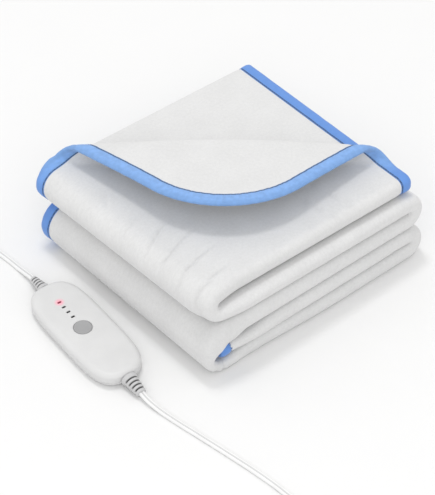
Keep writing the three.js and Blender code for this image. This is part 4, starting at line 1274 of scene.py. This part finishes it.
class MakeController(bpy.types.Operator):
    """Mould the controller's housing, button and lamps"""
    bl_idname = "topper.controller"
    bl_label = "Controller"

    def execute(self, context):
        settings = context.scene.topper_controller
        lamp = beside([lamp_x(0), MARKS_ASIDE, HOUSING_TOP])
        shell = plastic_finish("housing finish", settings.colour, 0.42,
                               glow=(tuple(lamp), settings.glow_colour))
        lower = new_piece("housing_base", lower_housing(), shell, sharp=50)
        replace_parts(lower, "housing_lower")
        upper = new_piece("housing_cover", upper_housing(), shell)
        cut_out(upper, pocket_cutters())
        upper.data.shade_smooth()
        upper.data.set_sharp_from_angle(angle=math.radians(32))
        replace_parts(upper, "housing_upper")
        finish = plastic_finish("button finish", settings.button_colour, 0.5, grain=0.03)
        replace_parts(new_piece("round_button", button_mesh(), finish, sharp=50), "button")
        dark = plastic_finish("dark lamp finish", settings.lamp_colour, 0.3)
        lit = plastic_finish("lit lamp finish", settings.lit_colour, 0.3,
                             Emission_Color=(*settings.lit_colour, 1), Emission_Strength=0.25)
        for k in range(LAMP_COUNT):
            finish, slot = (dark, "lamp") if k else (lit, "lamp_lit")
            piece = new_piece(f"lamp_window_{k + 1}", lamp_mesh(k), finish, sharp=50)
            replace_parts(piece, f"lamp_{k + 1}")
        return {"FINISHED"}


class MakeReliefs(bpy.types.Operator):
    """Mould the ribbed sleeves at both ends of the controller"""
    bl_idname = "topper.reliefs"
    bl_label = "Strain reliefs"

    def execute(self, context):
        colour = context.scene.topper_controller.relief_colour
        # The slots get painted shade, nearly black
        finish = plastic_finish("relief finish", colour, 0.6, grain=0.05, groove_shade=0.1)
        for name, sizes, turned in (("topper", TOPPER_RELIEF, False), ("mains", MAINS_RELIEF, True)):
            shape = relief_mesh(sizes, turned)
            piece = new_piece(f"ribbed_sleeve_{name}", shape, finish, sharp=45)
            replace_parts(piece, f"relief_{name}")
        return {"FINISHED"}


MAKERS = (MakeStage, MakeEnds, MakeLeads, MakeReliefs, MakeController, MakeSheet, MakeTape)
SETTINGS = (("topper_stage", TopperStage), ("topper_leads", TopperLeads),
            ("topper_controller", TopperController), ("topper_cloth", TopperCloth),
            ("topper_tape", TopperTape))


class TopperPanel(bpy.types.Panel):
    """Lists the topper's pieces and their settings"""
    bl_idname = "VIEW3D_PT_topper"
    bl_label = "Heated topper"
    bl_space_type = "VIEW_3D"
    bl_region_type = "UI"
    bl_category = "Topper"

    def draw(self, context):
        for maker in MAKERS:
            self.layout.operator(maker.bl_idname)
        for name, group in SETTINGS:
            box = self.layout.box()
            for key in group.__annotations__:
                box.prop(getattr(context.scene, name), key)


CLASSES = (*(group for _, group in SETTINGS), *MAKERS, TopperPanel)


def register():
    for kind in CLASSES:
        bpy.utils.register_class(kind)
    for name, group in SETTINGS:
        setattr(bpy.types.Scene, name, PointerProperty(type=group))


def unregister():
    for name, _ in SETTINGS:
        delattr(bpy.types.Scene, name)
    for kind in reversed(CLASSES):
        bpy.utils.unregister_class(kind)


def main():
    register()
    for maker in MAKERS:
        area, name = maker.bl_idname.split(".")
        getattr(getattr(bpy.ops, area), name)()


if __name__ == "__main__":
    main()
